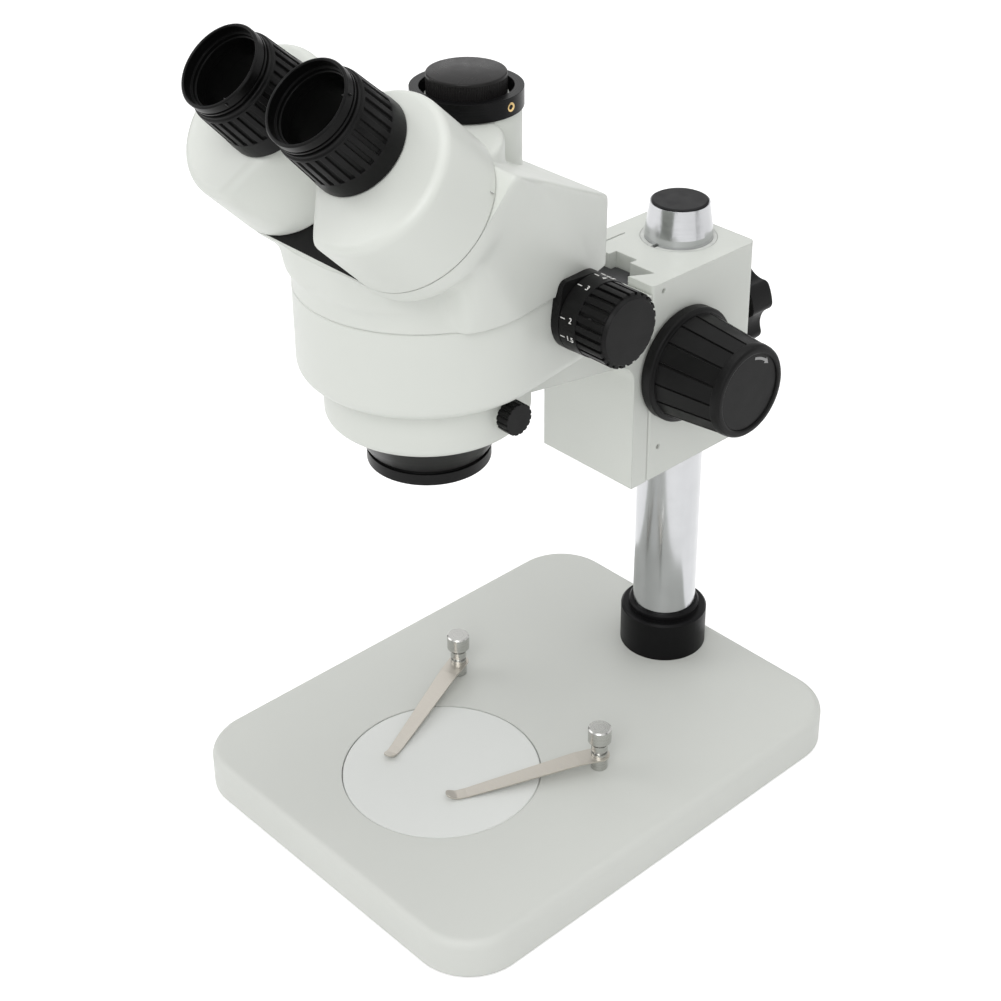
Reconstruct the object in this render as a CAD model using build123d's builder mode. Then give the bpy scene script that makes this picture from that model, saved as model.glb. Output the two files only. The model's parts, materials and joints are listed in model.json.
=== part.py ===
from build123d import *
import os
from math import atan2, cos, degrees, pi, radians, sin, tan

# Trinocular zoom stereo microscope on a pillar stand.
# Millimetres. +Z is up, the table is z = 0, the origin is under the middle of the base,
# the operator sits at -Y and the pillar stands at +Y.

os.makedirs("parts", exist_ok=True)

# Clearances
shaft_play = 0.05
fit_play = 0.1
screw_play = 0.1
turn_gap = 0.4
plate_play = 0.35
level_slack = 0.01

# Base casting
base_width = 200.0
base_depth = 255.0
base_top = 20.0
base_lift = 1.2
base_corner = 28.0
base_edge = 4.0
base_wall = 6.0
deck_thickness = 8.0
rib_thickness = 4.0
rib_depth = 6.0
rib_spacing = 50.0

# Rubber feet and their screws
foot_inset = 20.0
foot_radius = 8.5
foot_height = 5.0
foot_taper = 0.8
foot_boss_wall = 3.0
foot_floor = 3.5
foot_screw_radius = 2.0
foot_screw_head_radius = 3.6
foot_screw_head_height = 2.4
foot_screw_length = 11.0

# Stage plate
stage_y = -52.0
stage_radius = 47.5
stage_thickness = 4.0
stage_bevel = 0.5

# Stage clips
clip_x = 50.0
clip_y = 4.0
clip_pin_radius = 3.0
clip_body_radius = 4.0
clip_head_radius = 5.6
clip_head_bottom = 36.0
clip_head_top = 43.5
clip_blade_height = 27.0
clip_blade_thickness = 0.8
clip_blade_reach = 76.0
clip_blade_root_radius = 5.0
clip_blade_tip_radius = 2.75
clip_blade_flat = 11.0
clip_toe_height = 20.9
clip_toe_start = 66.0
clip_toe_length = 5.0
clip_tip_rise = 2.2
clip_blade_bend = 3.0
clip_pin_end_gap = 0.5
clip_band_height = 1.8
clip_groove_height = 1.4
clip_neck_height = 2.0
clip_head_bevel = 0.6
clip_turn = {"left": -68.9, "right": -115.7}

# Pillar
pillar_y = 102.4
pillar_radius = 16.0
pillar_bore = 13.0
pillar_top = 268.0
pillar_taper_length = 14.0
pillar_end_radius = 14.0
pillar_cap_radius = 13.4
pillar_cap_rim = 0.8
pillar_cap_plug = 6.0
plug_height = 30.0
plug_spigot_radius = 10.0
plug_spigot_depth = 6.0
pillar_bolt_radius = 5.0
pillar_bolt_flange = 10.0
pillar_bolt_flange_height = 1.6
pillar_bolt_head = 9.0
pillar_bolt_head_height = 5.5
pillar_bolt_reach = 22.0
pillar_bolt_end_gap = 1.0
pillar_pad_radius = 24.0
pillar_pad_depth = 2.0

# Collar at the foot of the pillar
collar_radius = 22.0
collar_height = 21.5
collar_bevel = 1.0
collar_lip_radius = 18.0
collar_lip_height = 3.5
collar_screw_radius = 2.0
collar_screw_height = 11.0
screw_sunk = 1.0

# Focus block
block_width = 58.0
block_front = 54.0
block_rear = 124.0
block_bottom = 149.0
block_height = 101.0
block_rear_corner = 4.0
block_edge = 1.5
liner_wall = 1.95
liner_split = 2.5
liner_lip_width = 2.5
liner_lip_height = 1.9

# Dovetail between the block and the carriage
dovetail_mouth = 27.0
dovetail_depth = 10.8
dovetail_angle = 30.0
dovetail_play = 0.15
dovetail_end_inset = 3.0
saw_slit_x = -19.6
saw_slit_width = 0.8
saw_slit_end = 86.5
gib_screw_radius = 1.2
gib_screw_depth = 7.0
gib_screw_heights = (16.0, 96.8)

# Rack and pinion
pinion_teeth = 12
pinion_pitch_radius = 6.05
tooth_addendum = 0.75
tooth_dedendum = 0.85
tooth_root_width = 1.6
tooth_tip_width = 0.8
pinion_y = 74.5
pinion_z = 205.5
gear_centre_x = -2.0
gear_width = 10.0
gear_side_gap = 1.5
rack_body = 7.4
tooth_end_gap = 1.4
tooth_overlap = 0.3
rack_root_gap = 0.2
pinion_shaft_radius = 4.0
pinion_shaft_end_gap = 2.0
bush_radius = 7.0
bush_length = 8.5

# Coarse focus knobs
knob_flange_radius = 28.0
knob_flange_thickness = 6.0
knob_flange_gap = 1.0
knob_root_radius = 25.4
knob_end_radius = 21.8
knob_length = 35.0
knob_flats = 16
knob_groove = 0.7
knob_recess_radius = 18.5
knob_recess_depth = 3.0
knob_cap_thickness = 2.0
knob_hub_radius = 9.0
knob_cavity_depth = 26.0
knob_rim_bevel = 0.8
friction_washer_radius = 20.0
friction_washer_thickness = 0.9

# Column clamp screw at the back of the block
clamp_z = 206.0
clamp_boss_radius = 11.0
clamp_boss_height = 6.0
clamp_stud_radius = 4.0
clamp_shoe_length = 2.6
clamp_knob_radius = 25.0
clamp_knob_length = 15.0
clamp_knob_scallop = 11.0
clamp_knob_lobes = 5
clamp_knob_edge = 1.8
clamp_knob_corner = 3.5
clamp_knob_grip = 9.0

# Carriage: front plate, arm and head ring in one casting
optic_y = -54.0
carriage_gap = 0.7
carriage_plate = 9.8
carriage_top = 246.0
arm_top = 242.6
arm_root_z = 217.0
arm_root_y = 33.9
arm_nose_z = 226.0
arm_nose_y = -21.6
arm_fillet = 11.0
ring_radius = 44.0
ring_bottom = 220.0
ring_edge = 4.0
ring_bore = 38.1
slide_screw_radius = 2.0
slide_screw_head_radius = 3.5
slide_screw_head_height = 3.0
slide_screw_x = (-10.8, 8.5)
slide_screw_z = (170.0, 228.0)
slide_screw_depth = 7.0
slide_screw_end_gap = 1.0

# Thumb screw that holds the head in the ring
thumb_forward = 5.0
thumb_z = 233.0
thumb_boss_radius = 6.5
thumb_boss_end = 44.6
thumb_stud_radius = 2.5
thumb_stud_tip = 38.0
thumb_knob_radius = 7.0
thumb_knob_length = 6.2
thumb_knob_notches = 16
thumb_knob_notch = 0.5

# Head: mount spigot and objective
spigot_wall = 5.0
spigot_step = 0.5
head_bottom = 243.0
objective_bottom = 197.3
objective_band_radius = 26.9
objective_band_height = 5.0
objective_neck_radius = 25.6
objective_neck_height = 1.7
objective_cone_radius = 37.6
objective_thread_radius = 24.0
objective_throat_radius = 21.0
objective_wall = 3.0
objective_lens_seat = 6.0
objective_lens_edge = 3.0
objective_lens_crown = 2.4

# Head: casing
body_radius = 54.5
body_wall_angle = 8.4
body_wall = 3.0
seam_z = 283.0
seam_bevel = 0.5
lower_rear_y = 2.5
lower_rear_corner = 6.0
lower_bottom_edge = 6.0
upper_rear_y = 9.0
upper_rear_corner = 8.0
ridge_y = -50.0
ridge_z = 343.0
roof_fall = 27.0
roof_edge = 4.0
floor_opening_radius = 32.0
chin_radius = 45.0
chin_bottom = 286.0
chin_edge = 2.6

# Head: prism housings
eye_tilt = 45.0
prism_x = 35.3
prism_y = -86.6
prism_z = 333.4
seat_radius = 35.5
seat_straight = 8.0
seat_taper = 16.0
seat_plate_radius = 34.4
seat_plate_thickness = 1.8
seat_pocket_wall = 3.0
seat_pocket_depth = 7.0
seat_boss_wall = 4.0
light_path_radius = 14.0
light_path_depth = 26.0
housing_radius = 34.8
housing_face_radius = 34.2
housing_length = 32.5
housing_edge = 4.0
housing_corner = 5.0
housing_wall = 3.0
housing_chord = 23.3
housing_chord_angle = 36.7
housing_spigot_radius = 19.0
housing_spigot_length = 8.0
housing_spigot_bore = 16.0
prism_block = (28.0, 24.0, 22.0)
prism_block_shift = (2.0, 4.0)
prism_block_bevel = 5.0

# Eyepiece tubes and diopter rings
eye_shift_x = 9.3
eye_shift_u = 6.5
socket_radius = 15.25
socket_depth = 30.0
socket_end = 66.5
socket_stop_radius = 13.0
tube_radius = 17.0
rim_radius = 18.3
rim_length = 6.5
rim_groove_depth = 0.7
rim_groove_width = 0.9
skirt_radius = 21.0
skirt_length = 8.0
rib_radius_low = 20.4
rib_radius_high = 19.4
rib_count = 28
rib_groove_width = 1.7
rib_groove_depth = 0.9
ring_head_length = 1.6
ring_head_radius = 18.6

# Photo port
port_y = -29.0
port_radius = 22.3
port_top = 350.5
port_bottom = 318.0
port_neck_radius = 17.0
port_neck_top = 355.0
port_bore = 15.1
port_stop_radius = 12.0
port_stop_z = 330.0
port_flange_radius = 23.2
port_flange_bore = 19.3
port_flange_height = 8.0
port_flange_web = 2.0
port_cap_radius = 16.5
port_cap_height = 9.4
port_cap_plug = 10.0
port_cap_wall = 2.0
port_cap_edge = 0.8
relay_lens_edge = 2.0
relay_lens_crown = 1.6

# Zoom control
zoom_y = -15.0
zoom_z = 272.0
zoom_shaft_radius = 4.0
bezel_radius = 17.0
bezel_face_x = 56.0
bezel_tail_reach = 22.0
bezel_tail_radius = 3.0
bezel_tail_angle = 128.0
zoom_knob_gap = 0.5
dial_radius = 17.0
dial_end_radius = 16.6
dial_length = 8.5
grip_radius = 16.3
grip_length = 13.5
grip_grooves = 24
grip_groove_width = 1.6
grip_groove_depth = 1.2
knob_nose_radius = 14.2
knob_nose_length = 1.5
zoom_knob_wall = 2.5
zoom_hub_radius = 7.0
zoom_shaft_entry = 17.0

# Zoom optics
channel_x = 14.0
barrel_radius = 13.0
barrel_bore = 11.5
barrel_bottom = 246.0
barrel_length = 58.0
barrel_lens_edge = 3.0
barrel_lens_levels = (6.0, 28.0, 50.0)

# Light path slider
slider_y = -40.0
slider_z = 316.0
slider_rod_radius = 2.5
slider_knob_radius = 4.5
slider_knob_length = 10.0
slider_knob_gap = 1.5
slider_block = 18.0
slider_block_x = -14.0

# Places worked out from the sizes above
deck_bottom = base_top - deck_thickness
foot_x = base_width / 2 - foot_inset
foot_y = base_depth / 2 - foot_inset
stage_floor = base_top - stage_thickness
pad_bottom = deck_bottom - pillar_pad_depth
block_top = block_bottom + block_height
half_block = block_width / 2
block_bore = pillar_radius + shaft_play + liner_wall + fit_play
dovetail_floor = block_front + dovetail_depth
dovetail_slope = tan(radians(dovetail_angle))
pinion_tip = pinion_pitch_radius + tooth_addendum
pinion_root = pinion_pitch_radius - tooth_dedendum
rack_pitch = 2 * pi * pinion_pitch_radius / pinion_teeth
rack_root_y = pinion_y - pinion_pitch_radius - tooth_dedendum - rack_root_gap
rack_tip_y = pinion_y - pinion_root - turn_gap
tongue_back = dovetail_floor - turn_gap
gear_left = gear_centre_x - gear_width / 2
slide_bottom = block_bottom + dovetail_end_inset
slide_top = carriage_top - dovetail_end_inset
carriage_back = block_front - carriage_gap
carriage_front = carriage_back - carriage_plate
thumb_y = optic_y + thumb_forward
spigot_radius = ring_bore - fit_play
spigot_bottom = ring_bottom + spigot_step
knob_inner_x = half_block + knob_flange_gap
knob_outer_x = knob_inner_x + knob_flange_thickness + knob_length
knob_cap_x = knob_outer_x - knob_recess_depth
bezel_seat_normal = (cos(radians(body_wall_angle)), sin(radians(body_wall_angle)))
zoom_knob_x = bezel_face_x + zoom_knob_gap
tilt_sin = sin(radians(eye_tilt))
tilt_cos = cos(radians(eye_tilt))
eye_direction = (0, -tilt_cos, tilt_sin)
up_the_face = (0, tilt_sin, tilt_cos)

seat_plane = Plane((0, prism_y, prism_z), x_dir=(1, 0, 0), z_dir=eye_direction)
roof_plane = Plane(
    (0, ridge_y, ridge_z), x_dir=(1, 0, 0), z_dir=(0, sin(radians(roof_fall)), cos(radians(roof_fall)))
)
face_plane = Plane((0, ridge_y, ridge_z), x_dir=(1, 0, 0), z_dir=eye_direction)
sides = (("left", -1), ("right", 1))


def save(piece, name):
    """Label a finished piece and write it as its own file."""
    piece.part.label = name
    export_step(piece.part, f"parts/{name}.step")


def profile(plane, *points):
    """A closed straight-sided outline on a plane."""
    with BuildSketch(plane) as outline:
        with BuildLine():
            Polyline(*points, close=True)
        make_face()
    return outline.sketch


def turned(x, y, *points):
    """Outline (radius, height) for a piece turned about the upright axis at x, y."""
    return profile(Plane((x, y, 0), x_dir=(1, 0, 0), z_dir=(0, -1, 0)), *points)


def upright(x, y):
    """The upright axis at x, y."""
    return Axis((x, y, 0), (0, 0, 1))


def outward(side, x, y, z):
    """A plane across the X axis that faces away from the middle of the instrument."""
    return Plane((side * x, y, z), x_dir=(0, side, 0), z_dir=(side, 0, 0))


def housing_plane(side):
    """The plane on which one prism housing turns, its normal along the eyepiece."""
    return Plane((side * prism_x, prism_y, prism_z), x_dir=(1, 0, 0), z_dir=eye_direction)


def eye_point(side, height):
    """A point on one eyepiece axis, at a height above the housing's seat."""
    u = eye_shift_u
    x = side * (prism_x - eye_shift_x)
    return (
        x,
        prism_y + u * up_the_face[1] + height * eye_direction[1],
        prism_z + u * up_the_face[2] + height * eye_direction[2],
    )


def eye_plane(side, height):
    """A plane across one eyepiece axis."""
    return Plane(eye_point(side, height), x_dir=(1, 0, 0), z_dir=eye_direction)


def eye_turned(side, *points):
    """Outline (radius, height above the seat) for a piece turned about one eyepiece axis."""
    plane = Plane(eye_point(side, 0), x_dir=(1, 0, 0), z_dir=(0, -up_the_face[1], -up_the_face[2]))
    return profile(plane, *points)


def eye_axis(side):
    """The axis of one eyepiece."""
    return Axis(eye_point(side, 0), eye_direction)


def casing_plan(z, rear, corner, inset=0.0):
    """Plan of the head casing: round in front, flanks that close in, flat behind."""
    radius = body_radius - inset
    angle = radians(body_wall_angle)
    tangent_x = radius * cos(angle)
    tangent_y = optic_y + radius * sin(angle)
    rear_y = rear - inset
    rear_x = tangent_x - (rear_y - tangent_y) * tan(angle)
    with BuildSketch(Plane.XY.offset(z)) as plan:
        with BuildLine():
            ThreePointArc((-tangent_x, tangent_y), (0, optic_y - radius), (tangent_x, tangent_y))
            Polyline((tangent_x, tangent_y), (rear_x, rear_y), (-rear_x, rear_y), (-tangent_x, tangent_y))
        make_face()
        fillet(plan.vertices().group_by(Axis.Y)[-1], radius=corner - inset)
    return plan.sketch


def lens(x, y, bottom, radius, seat, edge, crown):
    """Half section of a lens that rests on a ledge of radius seat at z = bottom."""
    with BuildSketch(Plane((x, y, 0), x_dir=(1, 0, 0), z_dir=(0, -1, 0))) as section:
        with BuildLine():
            Line((0, bottom - crown), (0, bottom + edge + crown))
            RadiusArc((0, bottom + edge + crown), (radius, bottom + edge), lens_curve(radius, crown))
            Polyline((radius, bottom + edge), (radius, bottom), (seat, bottom))
            RadiusArc((seat, bottom), (0, bottom - crown), lens_curve(seat, crown))
        make_face()
    return section.sketch


def lens_curve(radius, crown):
    """Radius of the sphere whose cap is crown high on a disc of this radius."""
    return (radius**2 + crown**2) / (2 * crown)


# Base plate: a thin casting, open below, ribbed under the deck
with BuildPart() as base_plate:
    with BuildSketch(Plane.XY.offset(base_lift)):
        RectangleRounded(base_width, base_depth, base_corner)
    extrude(amount=base_top - base_lift)
    fillet(base_plate.faces().sort_by(Axis.Z)[-1].edges(), radius=base_edge)
    with BuildSketch(Plane.XY.offset(base_lift)):
        RectangleRounded(
            base_width - 2 * base_wall, base_depth - 2 * base_wall, base_corner - base_wall
        )
    extrude(amount=deck_bottom - base_lift, mode=Mode.SUBTRACT)
    with BuildSketch(Plane.XY.offset(deck_bottom - rib_depth)):
        with GridLocations(rib_spacing, 0, 3, 1):
            Rectangle(rib_thickness, base_depth - 2 * base_wall)
        with GridLocations(0, rib_spacing, 1, 5):
            Rectangle(base_width - 2 * base_wall, rib_thickness)
    extrude(amount=rib_depth)
    with BuildSketch(Plane.XY.offset(foot_height)):
        with GridLocations(2 * foot_x, 2 * foot_y, 2, 2):
            Circle(foot_radius + foot_boss_wall)
    extrude(amount=deck_bottom - foot_height)
    with BuildSketch(Plane.XY.offset(pad_bottom)):
        with Locations((0, pillar_y)):
            Circle(pillar_pad_radius)
    extrude(amount=pillar_pad_depth)
    with BuildSketch(Plane.XY.offset(base_lift)):
        with Locations((0, pillar_y)):
            Circle(pillar_pad_radius - rib_thickness)
    extrude(amount=pad_bottom - base_lift, mode=Mode.SUBTRACT)
    with BuildSketch(Plane.XY.offset(foot_height)):
        with GridLocations(2 * foot_x, 2 * foot_y, 2, 2):
            Circle(foot_screw_radius + screw_play)
    extrude(amount=foot_screw_length, mode=Mode.SUBTRACT)
    with BuildSketch(Plane.XY.offset(stage_floor)):
        with Locations((0, stage_y)):
            Circle(stage_radius)
    extrude(amount=stage_thickness, mode=Mode.SUBTRACT)
    with BuildSketch(Plane.XY.offset(deck_bottom)):
        with Locations((-clip_x, clip_y), (clip_x, clip_y)):
            Circle(clip_pin_radius + shaft_play)
    extrude(amount=deck_thickness, mode=Mode.SUBTRACT)
    with BuildSketch(Plane.XY.offset(base_top - plug_spigot_depth)):
        with Locations((0, pillar_y)):
            Circle(plug_spigot_radius + fit_play)
    extrude(amount=plug_spigot_depth, mode=Mode.SUBTRACT)
    with BuildSketch(Plane.XY.offset(pad_bottom)):
        with Locations((0, pillar_y)):
            Circle(pillar_bolt_radius + screw_play)
    extrude(amount=base_top - pad_bottom, mode=Mode.SUBTRACT)
save(base_plate, "base_plate")

# Four rubber feet, each dished for its screw
with BuildPart() as rubber_feet:
    with GridLocations(2 * foot_x, 2 * foot_y, 2, 2):
        Cone(
            foot_radius,
            foot_radius - foot_taper,
            foot_height,
            align=(Align.CENTER, Align.CENTER, Align.MIN),
        )
    with BuildSketch():
        with GridLocations(2 * foot_x, 2 * foot_y, 2, 2):
            Circle(foot_screw_head_radius + screw_play)
    extrude(amount=foot_floor, mode=Mode.SUBTRACT)
    with BuildSketch():
        with GridLocations(2 * foot_x, 2 * foot_y, 2, 2):
            Circle(foot_screw_radius + screw_play)
    extrude(amount=foot_height, mode=Mode.SUBTRACT)
save(rubber_feet, "rubber_feet")

with BuildPart() as foot_screws:
    with BuildSketch(Plane.XY.offset(foot_floor - foot_screw_head_height)):
        with GridLocations(2 * foot_x, 2 * foot_y, 2, 2):
            Circle(foot_screw_head_radius)
    extrude(amount=foot_screw_head_height)
    with BuildSketch(Plane.XY.offset(foot_floor)):
        with GridLocations(2 * foot_x, 2 * foot_y, 2, 2):
            Circle(foot_screw_radius)
    extrude(amount=foot_screw_length)
save(foot_screws, "foot_screws")

with BuildPart() as stage_plate:
    with BuildSketch(Plane.XY.offset(stage_floor)):
        with Locations((0, stage_y)):
            Circle(stage_radius - plate_play)
    extrude(amount=stage_thickness)
    chamfer(stage_plate.faces().sort_by(Axis.Z)[-1].edges(), length=stage_bevel)
save(stage_plate, "stage_plate")

# Pillar: chrome tube, foot plug, bolt from below, collar, top cap
with BuildPart() as pillar:
    revolve(
        turned(
            0,
            pillar_y,
            (pillar_bore, base_top),
            (pillar_radius, base_top),
            (pillar_radius, pillar_top - pillar_taper_length),
            (pillar_end_radius, pillar_top),
            (pillar_bore, pillar_top),
        ),
        axis=upright(0, pillar_y),
    )
save(pillar, "pillar")

bolt_end = base_top + pillar_bolt_reach
with BuildPart() as pillar_foot_plug:
    revolve(
        turned(
            0,
            pillar_y,
            (pillar_bolt_radius, base_top - plug_spigot_depth),
            (plug_spigot_radius, base_top - plug_spigot_depth),
            (plug_spigot_radius, base_top),
            (pillar_bore, base_top),
            (pillar_bore, base_top + plug_height),
            (0, base_top + plug_height),
            (0, bolt_end + pillar_bolt_end_gap),
            (pillar_bolt_radius, bolt_end + pillar_bolt_end_gap),
        ),
        axis=upright(0, pillar_y),
    )
save(pillar_foot_plug, "pillar_foot_plug")

with BuildPart() as pillar_bolt:
    with BuildSketch(Plane.XY.offset(pad_bottom - pillar_bolt_flange_height)):
        with Locations((0, pillar_y)):
            Circle(pillar_bolt_flange)
    extrude(amount=pillar_bolt_flange_height)
    with BuildSketch(Plane.XY.offset(pad_bottom)):
        with Locations((0, pillar_y)):
            Circle(pillar_bolt_radius)
    extrude(amount=bolt_end - pad_bottom)
    with BuildSketch(
        Plane.XY.offset(pad_bottom - pillar_bolt_flange_height - pillar_bolt_head_height)
    ):
        with Locations((0, pillar_y)):
            RegularPolygon(radius=pillar_bolt_head, side_count=6)
    extrude(amount=pillar_bolt_head_height)
save(pillar_bolt, "pillar_bolt")

collar_top = base_top + collar_height
with BuildPart() as pillar_collar:
    revolve(
        turned(
            0,
            pillar_y,
            (pillar_radius + shaft_play, base_top),
            (collar_radius, base_top),
            (collar_radius, collar_top - collar_bevel),
            (collar_radius - collar_bevel, collar_top),
            (collar_lip_radius, collar_top),
            (collar_lip_radius, collar_top + collar_lip_height - collar_bevel),
            (collar_lip_radius - collar_bevel, collar_top + collar_lip_height),
            (pillar_radius + shaft_play, collar_top + collar_lip_height),
        ),
        axis=upright(0, pillar_y),
    )
    with BuildSketch(Plane.XZ.offset(-pillar_y)):
        with Locations((0, base_top + collar_screw_height)):
            Circle(collar_screw_radius)
    extrude(amount=-collar_radius, mode=Mode.SUBTRACT)
save(pillar_collar, "pillar_collar")

with BuildPart() as collar_screw:
    with BuildSketch(Plane.XZ.offset(-pillar_y - pillar_radius - fit_play)):
        with Locations((0, base_top + collar_screw_height)):
            Circle(collar_screw_radius)
    extrude(amount=pillar_radius - collar_radius + screw_sunk)
save(collar_screw, "collar_screw")

with BuildPart() as pillar_cap:
    revolve(
        turned(
            0,
            pillar_y,
            (0, pillar_top - pillar_cap_plug),
            (pillar_bore, pillar_top - pillar_cap_plug),
            (pillar_bore, pillar_top),
            (pillar_cap_radius, pillar_top),
            (pillar_cap_radius, pillar_top + pillar_cap_rim / 2),
            (pillar_cap_radius - pillar_cap_rim, pillar_top + pillar_cap_rim),
            (0, pillar_top + pillar_cap_rim),
        ),
        axis=upright(0, pillar_y),
    )
save(pillar_cap, "pillar_cap")

# Stage clips: a turned post and a tapered spring blade whose toe curls up
blade_under = clip_blade_height - clip_blade_thickness / 2
blade_over = clip_blade_height + clip_blade_thickness / 2
band_top_z = blade_over + clip_band_height
pin_end = deck_bottom + clip_pin_end_gap
for name, side in sides:
    post_x = side * clip_x
    turn = radians(clip_turn[name])
    with BuildPart() as clip_post:
        revolve(
            turned(
                post_x,
                clip_y,
                (0, pin_end),
                (clip_pin_radius, pin_end),
                (clip_pin_radius, base_top + fit_play),
                (clip_body_radius, base_top + fit_play),
                (clip_body_radius, blade_under),
                (clip_pin_radius, blade_under),
                (clip_pin_radius, blade_over),
                (clip_body_radius, blade_over),
                (clip_body_radius, band_top_z),
                (clip_pin_radius, band_top_z),
                (clip_pin_radius, band_top_z + clip_groove_height),
                (clip_body_radius, band_top_z + clip_groove_height),
                (clip_body_radius, clip_head_bottom - clip_neck_height),
                (clip_pin_radius, clip_head_bottom - clip_neck_height),
                (clip_pin_radius, clip_head_bottom),
                (clip_head_radius, clip_head_bottom),
                (clip_head_radius, clip_head_top - clip_head_bevel),
                (clip_head_radius - clip_head_bevel, clip_head_top),
                (0, clip_head_top),
            ),
            axis=upright(post_x, clip_y),
        )
    save(clip_post, f"clip_post_{name}")

    along = (cos(turn), sin(turn), 0)
    across = (sin(turn), -cos(turn), 0)
    with BuildPart() as clip_blade:
        with BuildSketch(Plane((post_x, clip_y, 0), x_dir=along, z_dir=across)):
            with BuildLine():
                FilletPolyline(
                    (-clip_blade_root_radius, clip_blade_height),
                    (clip_blade_flat, clip_blade_height),
                    (clip_toe_start, clip_toe_height),
                    (clip_toe_start + clip_toe_length, clip_toe_height),
                    (clip_blade_reach, clip_toe_height + clip_tip_rise),
                    radius=clip_blade_bend,
                )
            trace(line_width=clip_blade_thickness)
        extrude(amount=clip_blade_root_radius, both=True)
        with BuildSketch(Plane((post_x, clip_y, 0), x_dir=along, z_dir=(0, 0, 1))):
            Circle(clip_blade_root_radius)
            with Locations((clip_blade_reach - clip_blade_tip_radius, 0)):
                Circle(clip_blade_tip_radius)
            make_hull()
            Circle(clip_pin_radius, mode=Mode.SUBTRACT)
        extrude(amount=clip_head_top, mode=Mode.INTERSECT)
    save(clip_blade, f"clip_blade_{name}")

# Split liner that slides on the pillar and lets the block swing
with BuildPart() as bore_liner:
    revolve(
        turned(
            0,
            pillar_y,
            (pillar_radius + shaft_play, block_bottom - liner_lip_height - fit_play),
            (block_bore + liner_lip_width, block_bottom - liner_lip_height - fit_play),
            (block_bore + liner_lip_width, block_bottom - fit_play),
            (pillar_radius + shaft_play + liner_wall, block_bottom - fit_play),
            (pillar_radius + shaft_play + liner_wall, block_top),
            (pillar_radius + shaft_play, block_top),
        ),
        axis=upright(0, pillar_y),
    )
    with BuildSketch(Plane.XY):
        with Locations((0, pillar_y - block_bore)):
            Rectangle(liner_split, block_bore)
    extrude(amount=pillar_top, mode=Mode.SUBTRACT)
save(bore_liner, "bore_liner")

# Focus block: bored for the pillar, dovetail groove in front, pinion across
mouth_half = dovetail_mouth / 2
floor_half = mouth_half + dovetail_depth * dovetail_slope
rack_slot_left = gear_left - gear_side_gap
rack_slot_width = gear_width + 2 * gear_side_gap
rack_slot_y = rack_tip_y + turn_gap
boss_face_y = block_rear + clamp_boss_height
gib_y = block_front + gib_screw_depth
with BuildPart() as focus_block:
    with BuildSketch(Plane.XY.offset(block_bottom)) as block_plan:
        with Locations((0, (block_front + block_rear) / 2)):
            Rectangle(block_width, block_rear - block_front)
        fillet(block_plan.vertices().group_by(Axis.Y)[-1], radius=block_rear_corner)
        fillet(block_plan.vertices().group_by(Axis.Y)[0], radius=block_edge)
    extrude(amount=block_height)
    with BuildSketch(Plane.XZ.offset(-block_rear)):
        with Locations((0, clamp_z)):
            Circle(clamp_boss_radius)
    extrude(amount=-clamp_boss_height)
    extrude(
        profile(
            Plane.XY.offset(block_bottom),
            (-mouth_half, block_front),
            (mouth_half, block_front),
            (floor_half, dovetail_floor),
            (-floor_half, dovetail_floor),
        ),
        amount=block_height,
        mode=Mode.SUBTRACT,
    )
    with BuildSketch(Plane.XY.offset(block_bottom)):
        with Locations((rack_slot_left + rack_slot_width / 2, (dovetail_floor + rack_slot_y) / 2)):
            Rectangle(rack_slot_width, rack_slot_y - dovetail_floor)
        with Locations((saw_slit_x, (dovetail_floor + saw_slit_end) / 2)):
            Rectangle(saw_slit_width, saw_slit_end - dovetail_floor)
        with Locations((0, pillar_y)):
            Circle(block_bore)
    extrude(amount=block_height, mode=Mode.SUBTRACT)
    with BuildSketch(Plane.YZ.offset(-half_block)):
        with Locations((pinion_y, pinion_z)):
            Circle(bush_radius)
    extrude(amount=block_width, mode=Mode.SUBTRACT)
    with BuildSketch(Plane.YZ.offset(rack_slot_left)):
        with Locations((pinion_y, pinion_z)):
            Circle(pinion_tip + tooth_end_gap)
    extrude(amount=rack_slot_width, mode=Mode.SUBTRACT)
    with BuildSketch(Plane.XZ.offset(-boss_face_y)):
        with Locations((0, clamp_z)):
            Circle(clamp_stud_radius + shaft_play)
    extrude(amount=boss_face_y - pillar_y, mode=Mode.SUBTRACT)
    with BuildSketch(Plane.YZ.offset(half_block)):
        with Locations(*[(gib_y, block_bottom + height) for height in gib_screw_heights]):
            Circle(gib_screw_radius)
    extrude(amount=mouth_half - half_block, mode=Mode.SUBTRACT)
save(focus_block, "focus_block")

gib_tip_x = mouth_half + (gib_screw_depth + gib_screw_radius) * dovetail_slope
with BuildPart() as gib_screws:
    with BuildSketch(Plane.YZ.offset(gib_tip_x)):
        with Locations(*[(gib_y, block_bottom + height) for height in gib_screw_heights]):
            Circle(gib_screw_radius)
    extrude(amount=half_block - gib_tip_x - screw_sunk)
save(gib_screws, "gib_screws")

with BuildPart() as pinion_bushes:
    for name, side in sides:
        with BuildSketch(outward(side, half_block - bush_length, pinion_y, pinion_z)):
            Circle(bush_radius)
            Circle(pinion_shaft_radius + shaft_play, mode=Mode.SUBTRACT)
        extrude(amount=bush_length)
save(pinion_bushes, "pinion_bushes")

# Clamp screw: brass shoe against the liner, steel stud, lobed knob
shoe_y = pillar_y + block_bore
stud_y = shoe_y + clamp_shoe_length + fit_play
clamp_knob_y = boss_face_y + turn_gap
with BuildPart() as clamp_shoe:
    with BuildSketch(Plane.XZ.offset(-shoe_y)):
        with Locations((0, clamp_z)):
            Circle(clamp_stud_radius)
    extrude(amount=-clamp_shoe_length)
save(clamp_shoe, "clamp_shoe")

with BuildPart() as clamp_stud:
    with BuildSketch(Plane.XZ.offset(-stud_y)):
        with Locations((0, clamp_z)):
            Circle(clamp_stud_radius)
    extrude(amount=stud_y - clamp_knob_y - clamp_knob_grip)
save(clamp_stud, "clamp_stud")

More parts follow.
